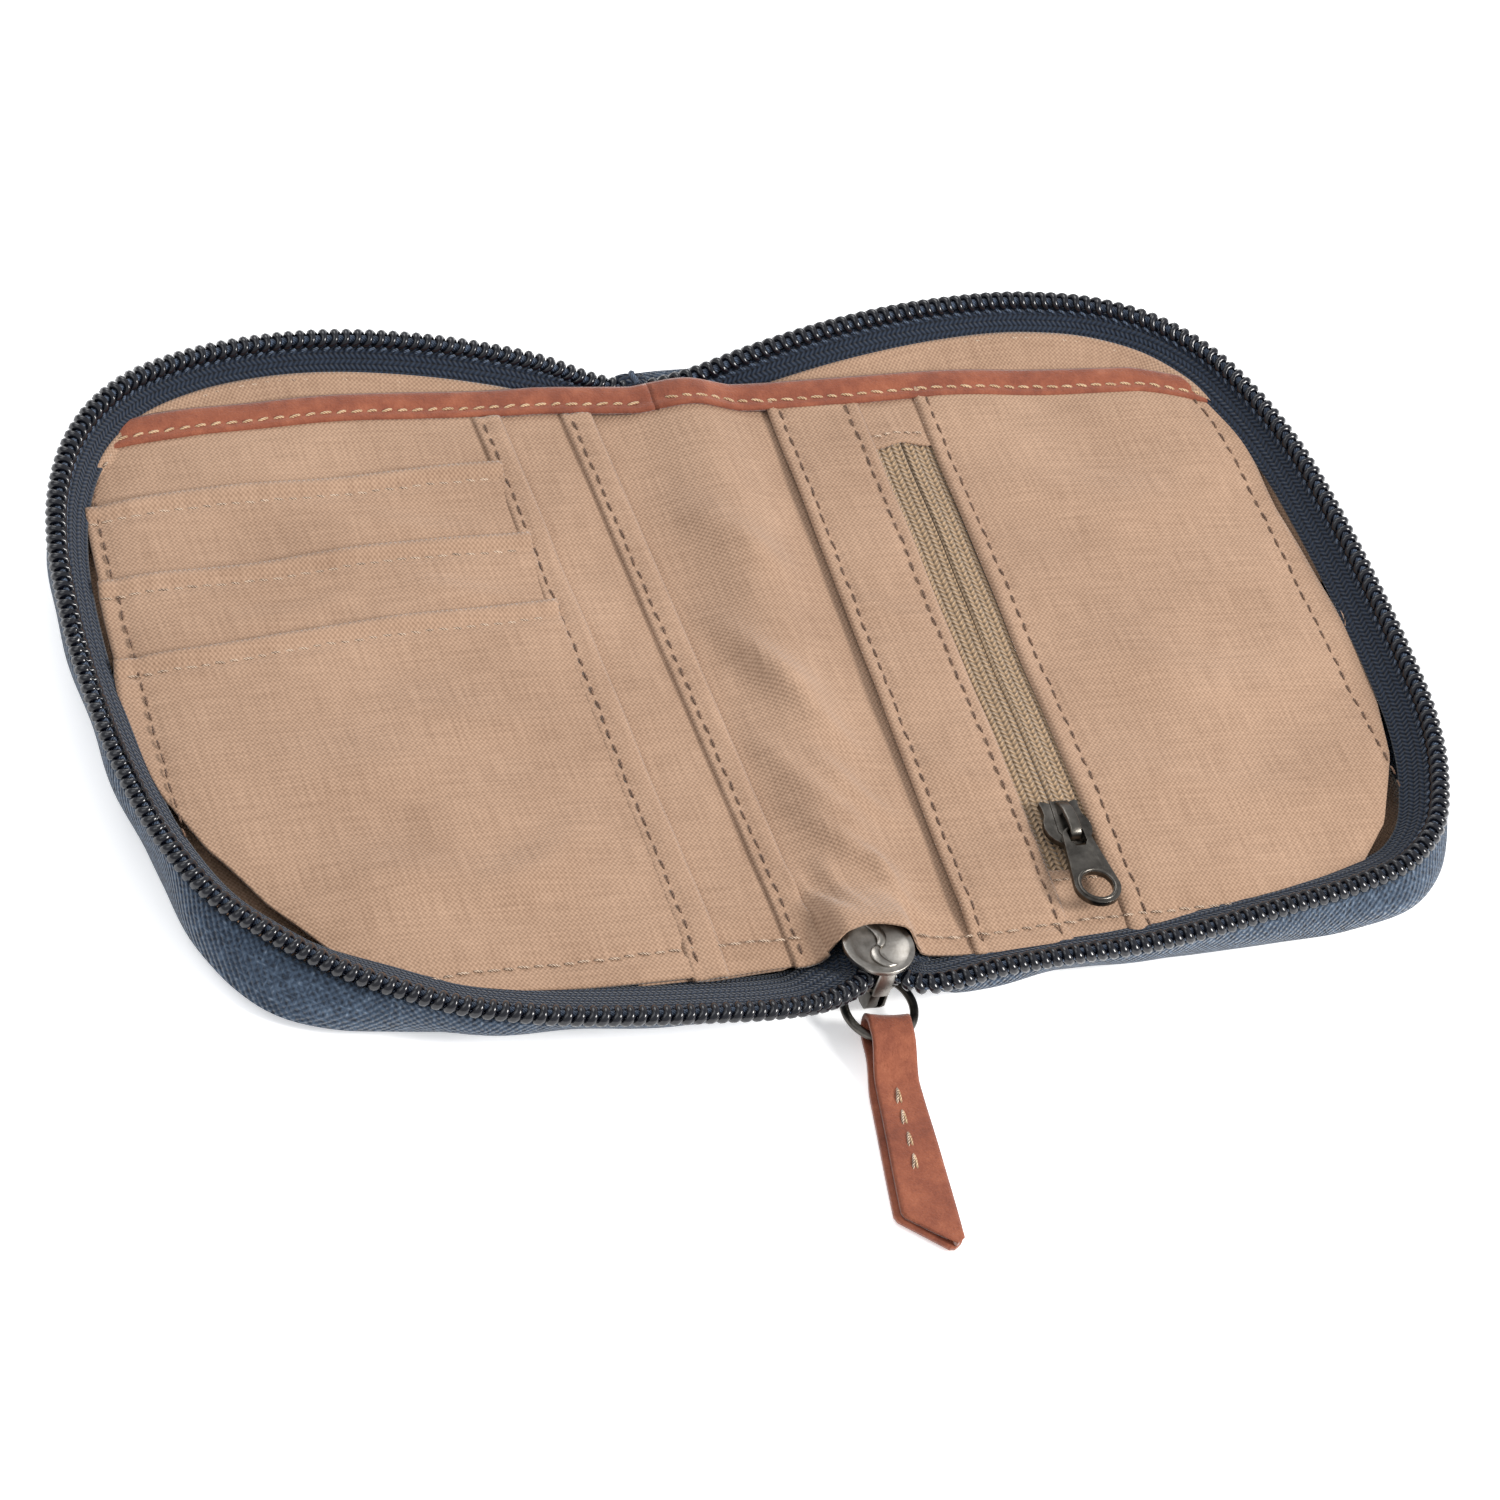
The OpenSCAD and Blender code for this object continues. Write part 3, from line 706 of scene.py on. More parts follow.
SLIDER_GATE = [(6.2, -72.1, 8.2, 7.5, -69.0, 5.4, 7.5, -65.6),
               (2.9, -69.8, 8.1, 4.5, -64.2, 4.6, 4.5, -64.0),
               (1.75, -65.5, 8.1, 2.4, -63.8, 4.4, 2.5, -63.8),
               (1.5, -58.5, 7.4, 0.0, -63.6, 4.3, 0.0, -63.7)]
RIM_RIGHT = [(1.6, 64.2, 3.9, 0, 69.5), (9.5, 65.2, 5.2, 9.5, 70.2), (23, 67.8, 8.2, 23, 70.4),
             (40, 71, 10.4, 40, 70.5), (58, 73.4, 11.1, 58, 70.4), (74, 73.8, 11.1, 74, 70.2),
             (88, 71.2, 11.1, 87, 67.2), (97, 66.6, 11.1, 95, 63), (104, 59, 11.1, 101.5, 56),
             (109, 48, 11.1, 106, 46.5), (112, 36, 11.1, 108.6, 35), (113.6, 20, 11.1, 110, 20),
             (114.2, 3, 11.1, 110.6, 3), (114.2, -13, 11.1, 111, -13), (113.4, -27, 11.1, 112.2, -28),
             (110.6, -39.5, 11.1, 112, -42), (104.5, -52, 11, 107.5, -54), (97.5, -57.8, 10.8, 99.5, -60.2),
             (89, -60.8, 10.5, 88.5, -63.2), (72, -64.4, 10, 74, -64.8), (60, -66.8, 9.7, 60, -65.6),
             (46, -69, 9.5, 46, -66), (32, -69.8, 9.3, 32, -66.4), (19, -71, 9.1, 19, -67),
             (11.5, -72.2, 8.6, 11.5, -66.4)]
RIM_LEFT = [(1.6, 64.6, 4, 0, 69.5), (7, 65.8, 5, 7, 70), (16.7, 68, 8, 17, 70.3), (28, 69.9, 10.1, 28, 70.5),
            (42, 72.2, 11.1, 42, 70.5), (54, 73.5, 11.1, 54, 70.5), (68, 72.9, 11.1, 67.5, 70),
            (81, 70.2, 11.1, 80, 67), (91, 66, 11.1, 89.5, 63), (98.4, 60.2, 11.1, 96.5, 57.5),
            (104.2, 52.7, 11.1, 102, 50.5), (108.8, 43, 11.1, 106.2, 41.5), (111.8, 32, 11.1, 109, 31),
            (113.4, 20, 11.1, 110.3, 20), (114.2, 0, 11.1, 111, 0), (113.3, -16, 11.1, 110.6, -16),
            (110.6, -32, 11.1, 109.4, -33), (104.6, -46, 11.1, 107, -47.5), (99.3, -52.2, 11.1, 103, -56),
            (93.6, -57.7, 11.1, 97.5, -62), (87.6, -62.4, 11.1, 89.5, -65.4), (81, -66.2, 11.1, 80.5, -66.8),
            (74, -69.8, 11.1, 72, -67.6), (62, -73.3, 11.1, 60, -68.2), (42, -75.8, 11, 42, -69),
            (30.5, -76.2, 10.6, 30, -69), (19.5, -76, 9.9, 19, -68.6), (12, -74.6, 8.9, 12, -66.8)]


# The curves at each station: coil middle, wall top, bottom edge, the way inwards, how close the slider is,
# from 0 to 1, and the length along the coil.
Curves = namedtuple("Curves", "coil top bottom inward gate along")
IN_GATE = 0.02
COIL_PITCH = 2.02


class Rim:
    """One cover's rim: curves that share their length, from the far end of the spine to the slider."""

    def __init__(self, side):
        self.side = side
        self.sign = HINGE[side]
        stations = RIM_LEFT if side == "left" else RIM_RIGHT
        flow = hermite([station[:3] for station in stations], 1.0)
        self.rows = []
        for x, y, z, bottom_x, bottom_y in stations:
            near = np.argmin(np.linalg.norm(flow - (x, y, z), axis=1))
            t = flow[min(near + 2, len(flow) - 1)] - flow[max(near - 2, 0)]
            out = unit(np.array([-t[1], t[0]]))
            self.rows.append([x, y, z, x + 0.7 * out[0], y + 0.7 * out[1], z - 1.5, bottom_x, bottom_y, 0])
        self.rows += [[*station, 1] for station in SLIDER_GATE]

    def curves(self, step):
        c = hermite(self.rows, step)
        coil, top, bottom, gate = c[:, :3], c[:, 3:6], c[:, 6:8], np.clip(c[:, 8], 0, 1)
        t = np.gradient(coil, axis=0)
        t[:, 2] = 0
        t = unit(t)
        inward = np.stack([t[:, 1], -t[:, 0], 0 * t[:, 0]], axis=1)
        flip = np.array([self.sign, 1, 1])
        return Curves(coil * flip, top * flip, bottom * flip[:2], inward * flip, gate, run_length(coil))

    def strip(self, name, step, sections, thick, material, node):
        """Sweeps sections(curves) along the rim: an array of stations by points across."""
        top = sections(self.curves(step), self.sign)
        across = np.cumsum(np.linalg.norm(np.diff(top, axis=1), axis=2), axis=1)
        across = np.concatenate([np.zeros((len(top), 1)), across], axis=1)
        along = np.repeat(run_length(top[:, 0])[:, None], top.shape[1], axis=1)
        return slab(f"{name}_{self.side}", top, thick, material, self.side + "_fold",
                    np.stack([along, across], axis=2), (f"{self.side}_{node}",), flip=self.sign > 0)

    def panel(self, name, inset, z, thick, material, replaces, cols=34):
        """A flat panel from the spine's middle line out to the rim."""
        c = self.curves(4.0)
        edge = c.bottom + c.inward[:, :2] * inset * (1 - c.gate[:, None])
        edge[:, 1] = np.clip(edge[:, 1], -66.3, 69.8)
        far, near = 69.3, -65.0
        spine_y = far + (near - far) * c.along / c.along[-1]
        t = np.linspace(0, 1, cols) ** 1.6
        x = edge[:, :1] * t
        y = spine_y[:, None] + (edge[:, 1:2] - spine_y[:, None]) * t
        return slab(f"{name}_{self.side}", np.stack([x, y, np.full_like(x, z)], axis=2), thick, material,
                    self.side + "_fold", replaces=replaces, flip=self.sign > 0)


def wall_sections(c, sign):
    """The canvas wall, slack between its top and the bottom edge, and turned in under the cover."""
    loose = 1 - c.gate
    puff = (1.3 + 0.5 * np.sin(c.along / 17.0 + sign) + 0.35 * np.sin(c.along / 6.3 + 2 * sign)) * loose
    dent = 0.35 * np.sin(c.along / 4.1 + 1.0) * loose
    low = np.column_stack([c.bottom, np.full(len(c.coil), 1.5)])
    rows = []
    for t in np.linspace(0, 1, 11):
        swell = math.sin(math.pi * min(1, t * 0.9)) * puff + dent * math.sin(math.pi * t)
        rows.append(c.top + (low - c.top) * t - c.inward * swell[:, None])
    held = c.gate > IN_GATE
    for inset, z in ((0.25, 0.75), (0.9, 0.25), (2.0, 0.03), (4.0, 0.02), (6.5, 0.02)):
        p = low + c.inward * inset
        p[:, 2] = z
        p[held, 0] = low[held, 0]
        p[held, 1] = np.maximum(low[held, 1] + inset, p[held, 1])
        rows.append(p)
    return np.stack(rows, axis=1)


def inner_tape_sections(c, sign):
    g = c.gate[:, None]
    more = 6.5 * smooth(-56, -68, c.coil[:, 1:2])
    rows = []
    for t in np.linspace(0, 1, 10):
        drop = (0.5 + (5.0 + more) * t) * (1 - g) + (0.4 + 8.5 * t) * g
        fall = (0.75 + (3.6 + 0.3 * more) * t) * (1 - g) + (0.1 + 3.2 * t) * g
        rows.append(c.coil + c.inward * drop - np.array([0, 0, 1.0]) * fall)
    return np.stack(rows, axis=1)


def lining_wall_sections(c, sign):
    """Behind the organiser the lining comes out of the tape's seam and runs in under the leather trim."""
    keep = c.coil[:, 1] > 8
    coil, inward = c.coil[keep], c.inward[keep]
    rise = 0.35 * np.sin(c.along[keep] / 9.0) - 3.4 * smooth(58, 44, coil[:, 1])
    rows = []
    for inset, z in ((4.6, -3.35), (5.2, -3.45), (6.0, -3.75), (7.5, -4.1), (9.5, -4.5), (12.0, -5.0),
                     (14.5, -5.6)):
        p = coil + inward * inset
        p[:, 2] = np.maximum(coil[:, 2] + z + rise * smooth(4.0, 6.0, inset), 3.0)
        rows.append(p)
    return np.stack(rows, axis=1)


def coil_turns(rim):
    """The nylon coil: one flattened loop of monofilament for every step of the zip, round a cord."""
    c = rim.curves(COIL_PITCH / 12)
    name, where = "zip_coil_" + rim.side, rim.side + "_fold"
    tangent = unit(np.gradient(c.coil, axis=0))
    up = unit(np.cross(tangent, c.inward)) * rim.sign
    up = np.where(up[:, 2:3] < 0, -up, up)
    phase = c.along / COIL_PITCH * math.tau
    # In the slider the coil lies on its side, so its loops lean over.
    across = unit(c.inward * (1 - 0.3 * c.gate[:, None]))
    half_width, half_height, lean = 1.1076, 0.96, 0.21
    path = (c.coil - across * (np.cos(phase) * half_width)[:, None]
            + up * (np.sin(phase) * half_height)[:, None] + tangent * (lean * np.sin(2 * phase))[:, None])
    heads = 0.56 + 0.36 * ((1 + np.cos(phase)) / 2) ** 2.5
    tube(name, path, heads, "coil", where, replaces=(rim.side + "_zip_coil",))
    core = hermite(rim.rows, 1.5)[:, :3] * np.array([rim.sign, 1, 1])
    tube(name + "_cord", core, 0.75, "thread_navy", where, sides=6)


def coil_stitching(rim):
    """Two rows of thread that hold the coil to the tape, seen along its inner side."""
    c = rim.curves(COIL_PITCH)
    d = unit(np.gradient(c.coil, axis=0))
    rows, dirs = [], []
    for inset, z, lean in ((1.55, -0.55, 0.5), (-1.35, 0.25, -0.4)):
        rows.append(c.coil + c.inward * inset + np.array([0, 0, z]))
        dirs.append(d + c.inward * lean)
    ups = np.tile(np.array([0, 0, 1.0]) + c.inward * 0.4, (2, 1))
    capsules("zip_coil_stitching_" + rim.side, np.concatenate(rows), np.concatenate(dirs), ups, 1.9, 0.5,
             0.45, "thread_navy", rim.side + "_fold")


def rim_seams(rim):
    """The seam that holds the lining behind the organiser, and the seam round the cover's underside."""
    c = rim.curves(1.0)
    far_side = (c.coil[:, 1] > 52) & (np.abs(c.coil[:, 0]) > 22) & (np.abs(c.coil[:, 0]) < 104)
    seam = c.coil[far_side] + c.inward[far_side] * 5.75
    seam[:, 2] = c.coil[far_side][:, 2] - 3.55 + 0.35 * np.sin(c.along[far_side] / 9.0)
    sew("lining_seam_" + rim.side, seam, 2.3, 1.8, "thread_tan", rim.side + "_cover", skew=0.15, width=0.4)
    edge = np.column_stack([c.bottom + c.inward[:, :2] * 5.6, np.full(len(c.bottom), -0.02)])
    path = even(edge[(c.gate < IN_GATE) & (np.abs(edge[:, 0]) > 4)], 3.2)
    d = unit(path[1:] - path[:-1])
    capsules("canvas_seam_" + rim.side, (path[1:] + path[:-1]) / 2, d,
             np.broadcast_to([0, 0, -1.0], d.shape), 2.3, 0.45, 0.3, "thread_navy", rim.side + "_fold")


def make_rim(side):
    rim = Rim(side)
    # The right side's panels also stand for the spine's.
    shell, lining, board = [("spine_" + part,) if side == "right" else ()
                            for part in ("shell", "lining", "board")]
    rim.strip("canvas_wall", 1.6, wall_sections, 0.7, "canvas", "gusset")
    rim.panel("canvas_panel", 3.0, 0.75, 0.55, "canvas", (side + "_cover_shell",) + shell)
    rim.panel("board_panel", 4.2, 1.95, 1.1, "board", (side + "_board",) + board)
    rim.panel("lining_floor", 5.0, 2.5, 0.3, "tan", lining)
    rim.strip("zip_tape", 1.5, inner_tape_sections, 0.45, "tape", "zip_tape")
    rim.strip("lining_wall", 2.0, lining_wall_sections, 0.35, "tan", "lining")
    coil_turns(rim)
    coil_stitching(rim)
    rim_seams(rim)


# --- The organiser: edges, seams and pockets ------------------------------------------------------

# The organiser's far edge under the trim, and the ends of the coin zip.
TOP_EDGE = 57.5
COIN_NEAR, COIN_FAR = -51.0, 44.0

# Bindings and seams, as x along y: A is the card slots' binding, B the passport sleeve's, C and D are the
# edges of the coin pocket's strip, and E is that of its front.
A_STITCH, A_LEFT, A_RIGHT = straight(-31.0, -29.4), straight(-32.6, -31.0), straight(-27.6, -24.6)
B_STITCH, B_LEFT, B_RIGHT = straight(-15.1, -11.4), straight(-16.7, -13.0), straight(-11.2, -7.8)
C_EDGE, C_STITCH = straight(20.6, 18.0), straight(22.9, 20.2)
D_STITCH, D_EDGE = straight(34.9, 34.1), straight(37.3, 35.8)
ZIP_LINE = straight(42.0, 40.7)
E_EDGE, E_STITCH = straight(47.4, 46.0), straight(49.7, 50.0)
LEFT_SEAM_X, RIGHT_SEAM_X = along_y(LEFT_SEAM), along_y(RIGHT_SEAM)

# The card slots' mouths: y at x -106, and slope.
MOUTHS = [(41.6, 0.043), (24.4, 0.062), (7.7, 0.079)]
HEM = 3.1


def mouth(k):
    start, slope = MOUTHS[k]
    return lambda x: start + slope * (np.asarray(x, float) + 106) + 0.35 * np.sin(np.asarray(x) / 8.0 + 2 * k)


def near_edge(x):
    """The organiser's near edge; between the pockets it rises over the slider in an arch."""
    x = np.asarray(x, float)
    y = -65.3 - 0.7 * smooth(10, 30, abs(x)) - 0.25 * np.sin(x / 9.0) + 2.6 * bell(x - 0.2, 6.4)
    corner = np.where(x < 0, np.interp(-x, EDGE_LEFT[:8], EDGE_Y[:8]),
                      np.interp(x, EDGE_RIGHT[:8], EDGE_Y[:8]))
    return np.maximum(y, np.where(abs(x) > 54, corner, -99))


def outer_left(extra):
    return lambda y: -(edge_x(-1, y) + extra)


def seam_dip(line):
    """The cloth pulled down along a straight seam."""
    return lambda x, y: -0.28 * bell(x - line(y), 1.0) * (1 + 0.35 * np.sin(y * 1.9))


def hem_dip(hem):
    return lambda x, y: -0.3 * bell(y - along_x(hem)(x), 0.9) * (1 + 0.4 * np.sin(x * 1.6))


def edge_dip(edge, depth=0.35, width=0.5):
    """The rounded edge of a binding or a fold."""
    return lambda x, y: -depth * bell(x - edge(y), width)


def fold_rise(edge, stitch, height, width):
    """The cloth's own fold, between its edge and its stitches."""
    return lambda x, y: height * bell(x - (edge(y) + stitch(y)) / 2, width)


def both(*functions):
    return lambda x, y: sum(f(x, y) for f in functions)


def base_height(inside):
    """The base cloth is open over the spine; where inside(x) fails it lies under the pockets."""
    def height(x, y):
        spine = spine_cloth(x, y)
        return np.where(inside(x), spine, np.minimum(spine, relief(x, y) - 0.55))
    return height


def make_card_slot(k, dips):
    high, low = mouth(k), near_edge if k == 2 else shifted(mouth(k + 1), -6)
    span = float(low(-70.0)), float(high(-70.0))
    x, y = spread(low, high, shifted(A_STITCH, -0.2), outer_left(-0.7 + 0.7 * k),
                  int((span[1] - span[0]) / 0.9) + 1, 86, span)
    level = 0.5 + 0.12 * (k + 1)
    from_mouth = high(x) - y
    # The mouth gapes, with a turned hem.
    z = (relief(x, y) + level + 1.25 * np.exp(-from_mouth / 4.0) - 0.45 * bell(from_mouth - HEM, 0.7)
         + 0.25 * bell(from_mouth - 0.7, 0.7) + dips(x, y))
    slab(f"card_slot_cloth_{k + 1}", np.stack([x, y, z], axis=2)[:, ::-1], 0.55, "tan", "left_cover",
         replaces=(f"card_slot_{k + 1}",))
    hem = [(x, high(x) - HEM) for x in np.linspace(-107 + k * 0.2, -33.5, 30)]
    hem_stitches(f"card_hem_stitches_{k + 1}", on_cloth(hem, level + 1.25 * math.exp(-HEM / 4) - 0.4),
                 "left_cover", 2.45, 2.05, 0.16)


def make_left():
    """Passport sleeve and card slots."""
    fold, cover = "left_fold", "left_cover"
    cloth("organiser_base_left", near_edge, constant(0), constant(-30), 0, fold, ("left_organiser_panel",),
          height=base_height(lambda x: x >= -14))
    cloth("passport_sleeve_left", near_edge, B_STITCH, constant(-40), 0.0, fold, ("left_sleeve_panel",),
          height=over)
    cloth("sleeve_binding_left", shifted(near_edge, -0.5), B_RIGHT, B_LEFT, 0.75, fold,
          ("left_sleeve_binding",), 56.5, thick=0.8, step=0.7, height=over,
          extra=both(seam_dip(B_STITCH), edge_dip(B_LEFT, 0.3), edge_dip(B_RIGHT)))
    cloth("card_panel_cloth", 34, shifted(A_STITCH, -0.3), outer_left(-1.2), 0.45, cover, ("card_panel",),
          extra=seam_dip(LEFT_SEAM_X))
    dips = both(seam_dip(LEFT_SEAM_X), hem_dip(LEFT_HEM))
    for k in range(len(MOUTHS)):
        make_card_slot(k, dips)
    cloth("card_binding_cloth", shifted(near_edge, -0.6), A_RIGHT, A_LEFT, 1.15, cover, ("card_binding",),
          56.5, thick=0.8, step=0.7, extra=both(seam_dip(A_STITCH), edge_dip(A_LEFT), edge_dip(A_RIGHT)))
    seam_stitches("card_binding_stitches", on_cloth(down_seam(A_STITCH), 0.98), cover)
    seam_stitches("sleeve_binding_stitches", on_cloth(down_seam(B_STITCH), 0.6, over), fold)
    seam = on_cloth(LEFT_SEAM, 0.62)
    for slot_y in (42, 25, 8):
        seam[:, 2] += np.where(seam[:, 1] < slot_y, 0.12, 0)
    seam_stitches("left_seam_stitches", seam, cover)
    hem_stitches("near_hem_stitches_left", on_cloth(LEFT_HEM, 0.75, over), fold)


def make_coin_zip():
    """The coin zip's two tapes, the coil between them and the cloth caps over its ends."""
    cover = "right_cover"
    for name, inner, outer in (("inner", shifted(D_EDGE, -1.5), shifted(ZIP_LINE, -0.12)),
                               ("outer", shifted(ZIP_LINE, 0.12), shifted(E_EDGE, 1.5))):
        y, u = np.meshgrid(np.arange(COIN_NEAR - 4, COIN_FAR + 5, 0.9), np.linspace(0, 1, 9), indexing="ij")
        x = inner(y) + (outer(y) - inner(y)) * u
        z = relief(x, y) - 0.15 + 0.5 * bell(x - ZIP_LINE(y), 2.6)
        slab(f"coin_tape_{name}_cloth", np.stack([x, y, z], axis=2), 0.5, "coin_tape", cover,
             np.stack([y, x], axis=2), ("coin_zip_tape_" + name,))
    y, across = np.meshgrid(np.arange(COIN_NEAR - 3, COIN_FAR + 4, 1.0), np.linspace(-1.3, 1.3, 5),
                            indexing="ij")
    x = ZIP_LINE(y) + across
    z = relief(x, y) - 0.2 - 0.3 * bell(across, 0.5)
    slab("coin_coil_rows", np.stack([x, y, z], axis=2), 0.5, "coil", cover, replaces=("coin_zip_coil",))
    for end, y0, y1, edge, bow in (("far", COIN_FAR, 57.0, COIN_FAR, 0.9),
                                   ("near", -66.2, COIN_NEAR, COIN_NEAR, -0.5)):
        share, u = np.meshgrid(np.linspace(0, 1, 18), np.linspace(0, 1, 16), indexing="ij")
        y = y0 + (y1 - y0) * share
        x = D_EDGE(y) - 1.2 + (E_EDGE(y) - D_EDGE(y) + 2.4) * u
        edge_y = edge + bow * bell(x - ZIP_LINE(y), 3.0)
        low, high = (edge_y, y1) if end == "far" else (y0, edge_y)
        y = low + (high - low) * share
        rise = 0.45 * bell(x - ZIP_LINE(y), 3.0) + 0.2 * bell(y - edge_y, 0.8)
        z = relief(x, y) + 0.12 + rise * smooth(10, 0, abs(y - edge_y))
        slab("coin_zip_cap_" + end, np.stack([x, y, z], axis=2), 0.45, "tan", cover,
             replaces=("coin_zip_stop_" + end,))
    far = [(ZIP_LINE(46) + u, 46.6 + 0.5 * bell(u, 3)) for u in np.linspace(-4.6, 4.6, 8)]
    near = [(ZIP_LINE(-53) + u, -53.2) for u in np.linspace(-4.8, 4.8, 6)]
    hem_stitches("coin_cap_stitches_far", on_cloth(far, 0.5), cover, 1.7, 1.4, 0.15, 0.42)
    hem_stitches("coin_cap_stitches_near", on_cloth(near, 0.45), cover, 1.7, 1.4, 0.15, 0.42)


def make_right():
    """Coin pocket with its zip."""
    fold, cover = "right_fold", "right_cover"
    hem = hem_dip(RIGHT_HEM)
    cloth("organiser_base_right", near_edge, constant(0), constant(34), 0, fold,
          ("right_organiser_panel", "organiser_fold"), height=base_height(lambda x: x <= 20.5))
    cloth("coin_pocket_back_cloth", near_edge, constant(30), constant(56), -0.75, cover,
          ("coin_pocket_back",))
    cloth("coin_pocket_strip_cloth", shifted(near_edge, -0.5), C_EDGE, D_EDGE, 0.65, fold,
          ("coin_pocket_strip",), 57.2, thick=0.6, step=0.6,
          extra=both(seam_dip(C_STITCH), seam_dip(D_STITCH), hem, edge_dip(C_EDGE, 0.3), edge_dip(D_EDGE),
                     fold_rise(C_EDGE, C_STITCH, 0.25, 0.8)))
    cloth("coin_pocket_front_cloth", near_edge, E_EDGE, lambda y: edge_x(1, y), 0.65, cover,
          ("coin_pocket_front",), 57.2, thick=0.5, step=0.9,
          extra=both(seam_dip(RIGHT_SEAM_X), hem, seam_dip(E_STITCH), edge_dip(E_EDGE, width=0.6),
                     fold_rise(E_EDGE, E_STITCH, 0.3, 1.0)))
    make_coin_zip()
    for name, line, where in (("coin_strip_stitches_inner", C_STITCH, fold),
                              ("coin_strip_stitches_outer", D_STITCH, cover),
                              ("coin_front_stitches", E_STITCH, cover)):
        seam_stitches(name, on_cloth(down_seam(line, -64.5), 0.52), where)
    seam_stitches("right_seam_stitches", on_cloth(RIGHT_SEAM, 0.5), cover)
    hem_stitches("near_hem_stitches_right", on_cloth(RIGHT_HEM, 0.5, over), fold)


# --- Leather trim ---------------------------------------------------------------------------------

TRIM_X = (-106, -95, -80, -60, -40, -20, -5, 10, 30, 60, 90, 100, 106)
TRIM_Y = (58.6, 60.9, 62.2, 62.7, 63.1, 62.9, 61.9, 61.1, 61.0, 60.5, 59.6, 57.6, 55.6)
TRIM_WIDTH = 6.1
# Where the trim's lower edge ends, and the share that the slanted cut takes off at its upper edge.
TRIM_END = {"left": (101.5, 0.075), "right": (103.5, 0.045)}


def trim_top_y(x):
    return np.interp(x, TRIM_X, TRIM_Y)


def trim_lift(x, y):
    return np.maximum(over(x, y), relief(x, y)) + 1.0


def make_trim(side):
    """A leather strip over the organiser's far edge, turned down behind it."""
    sign, fold = HINGE[side], side + "_fold"
    end, slant = TRIM_END[side]
    xs = np.linspace(0, sign * end, 110)
    front, back = [], []
    for w in np.linspace(0, 1, 9):
        x = xs * (1 - slant * w)
        y = trim_top_y(x) - TRIM_WIDTH * (1 - w)
        z = (trim_lift(x, y) + 0.1 - 0.45 * bell(w - 0.3, 0.14) - 0.5 * bell(w - 1.0, 0.07)
             - 0.3 * bell(w, 0.08))
        front.append(np.stack([x, y, z], axis=1))
    for t, drop in ((0.0, 0.0), (0.6, 0.8), (0.9, 2.2), (1.0, 3.6)):
        x = xs * (1 - slant) * 0.985
        y = trim_top_y(x) - 0.3 + 0.5 * t
        back.append(np.stack([x, y, trim_lift(x, y) - 0.5 - drop], axis=1))
    more = ("leather_trim_fold",) if side == "right" else ()
    slab(f"leather_trim_{side}_strip", np.array(front), 1.1, "leather", fold,
         replaces=(side + "_leather_trim",) + more, flip=sign < 0)
    slab(f"leather_trim_{side}_back", np.array(back), 0.8, "leather", fold, flip=sign < 0)
    line = np.stack([xs, trim_top_y(xs) - 4.25, 0 * xs], axis=1)[2:-1]
    line[:, 2] = trim_lift(line[:, 0], line[:, 1]) - 0.28
    sew("trim_stitches_" + side, line, 2.75, 2.35, "thread_cream", fold, width=0.52, height=0.46,
        skew=0.17 * sign, lift=0.12, wander=0.05)


# --- Metal and leather hardware -------------------------------------------------------------------

def temp_object(verts, faces):
    mesh = bpy.data.meshes.new("temp")
    mesh.from_pydata([tuple(float(c) * MM for c in v) for v in verts], [], faces)
    return add_object("temp", mesh)


def extruded(ends):
    """A solid between two outlines with as many points each."""
    n = len(ends[0])
    faces = [tuple(range(n))[::-1], tuple(range(n, 2 * n))]
    faces += [(i, (i + 1) % n, (i + 1) % n + n, i + n) for i in range(n)]
    return temp_object(ends[0] + ends[1], faces)


def prism(outline, z0, z1):
    return extruded([[(x, y, z) for x, y in outline] for z in (z0, z1)])


def side_prism(outline, x0, x1):
    """A prism along X from an outline in Y and Z."""
    return extruded([[(x, y, z) for y, z in outline] for x in (x0, x1)])


def mirrored(points):
    """An outline from the points of one half, which run from one end to the other."""
    return points + [(-x, y) for x, y in points[::-1]]


def turned(profile, x, y, sides=64):
    """A solid of revolution about a vertical axis; the profile is (radius, z) from the axis to the axis."""
    a = np.linspace(0, math.tau, sides, endpoint=False)
    verts = [(x, y, profile[0][1])]
    for r, z in profile[1:-1]:
        verts += [(x + r * math.cos(t), y + r * math.sin(t), z) for t in a]
    verts.append((x, y, profile[-1][1]))
    rings = len(profile) - 2
    faces = [(0, 1 + (j + 1) % sides, 1 + j) for j in range(sides)]
    faces += grid_faces(rings, sides, wrap_cols=True, start=1)
    last = 1 + (rings - 1) * sides
    faces += [(len(verts) - 1, last + j, last + (j + 1) % sides) for j in range(sides)]
    return temp_object(verts, faces)


def fix_outside(obj):
    bm = bmesh.new()
    bm.from_mesh(obj.data)
    bmesh.ops.recalc_face_normals(bm, faces=bm.faces)
    bm.to_mesh(obj.data)
    bm.free()


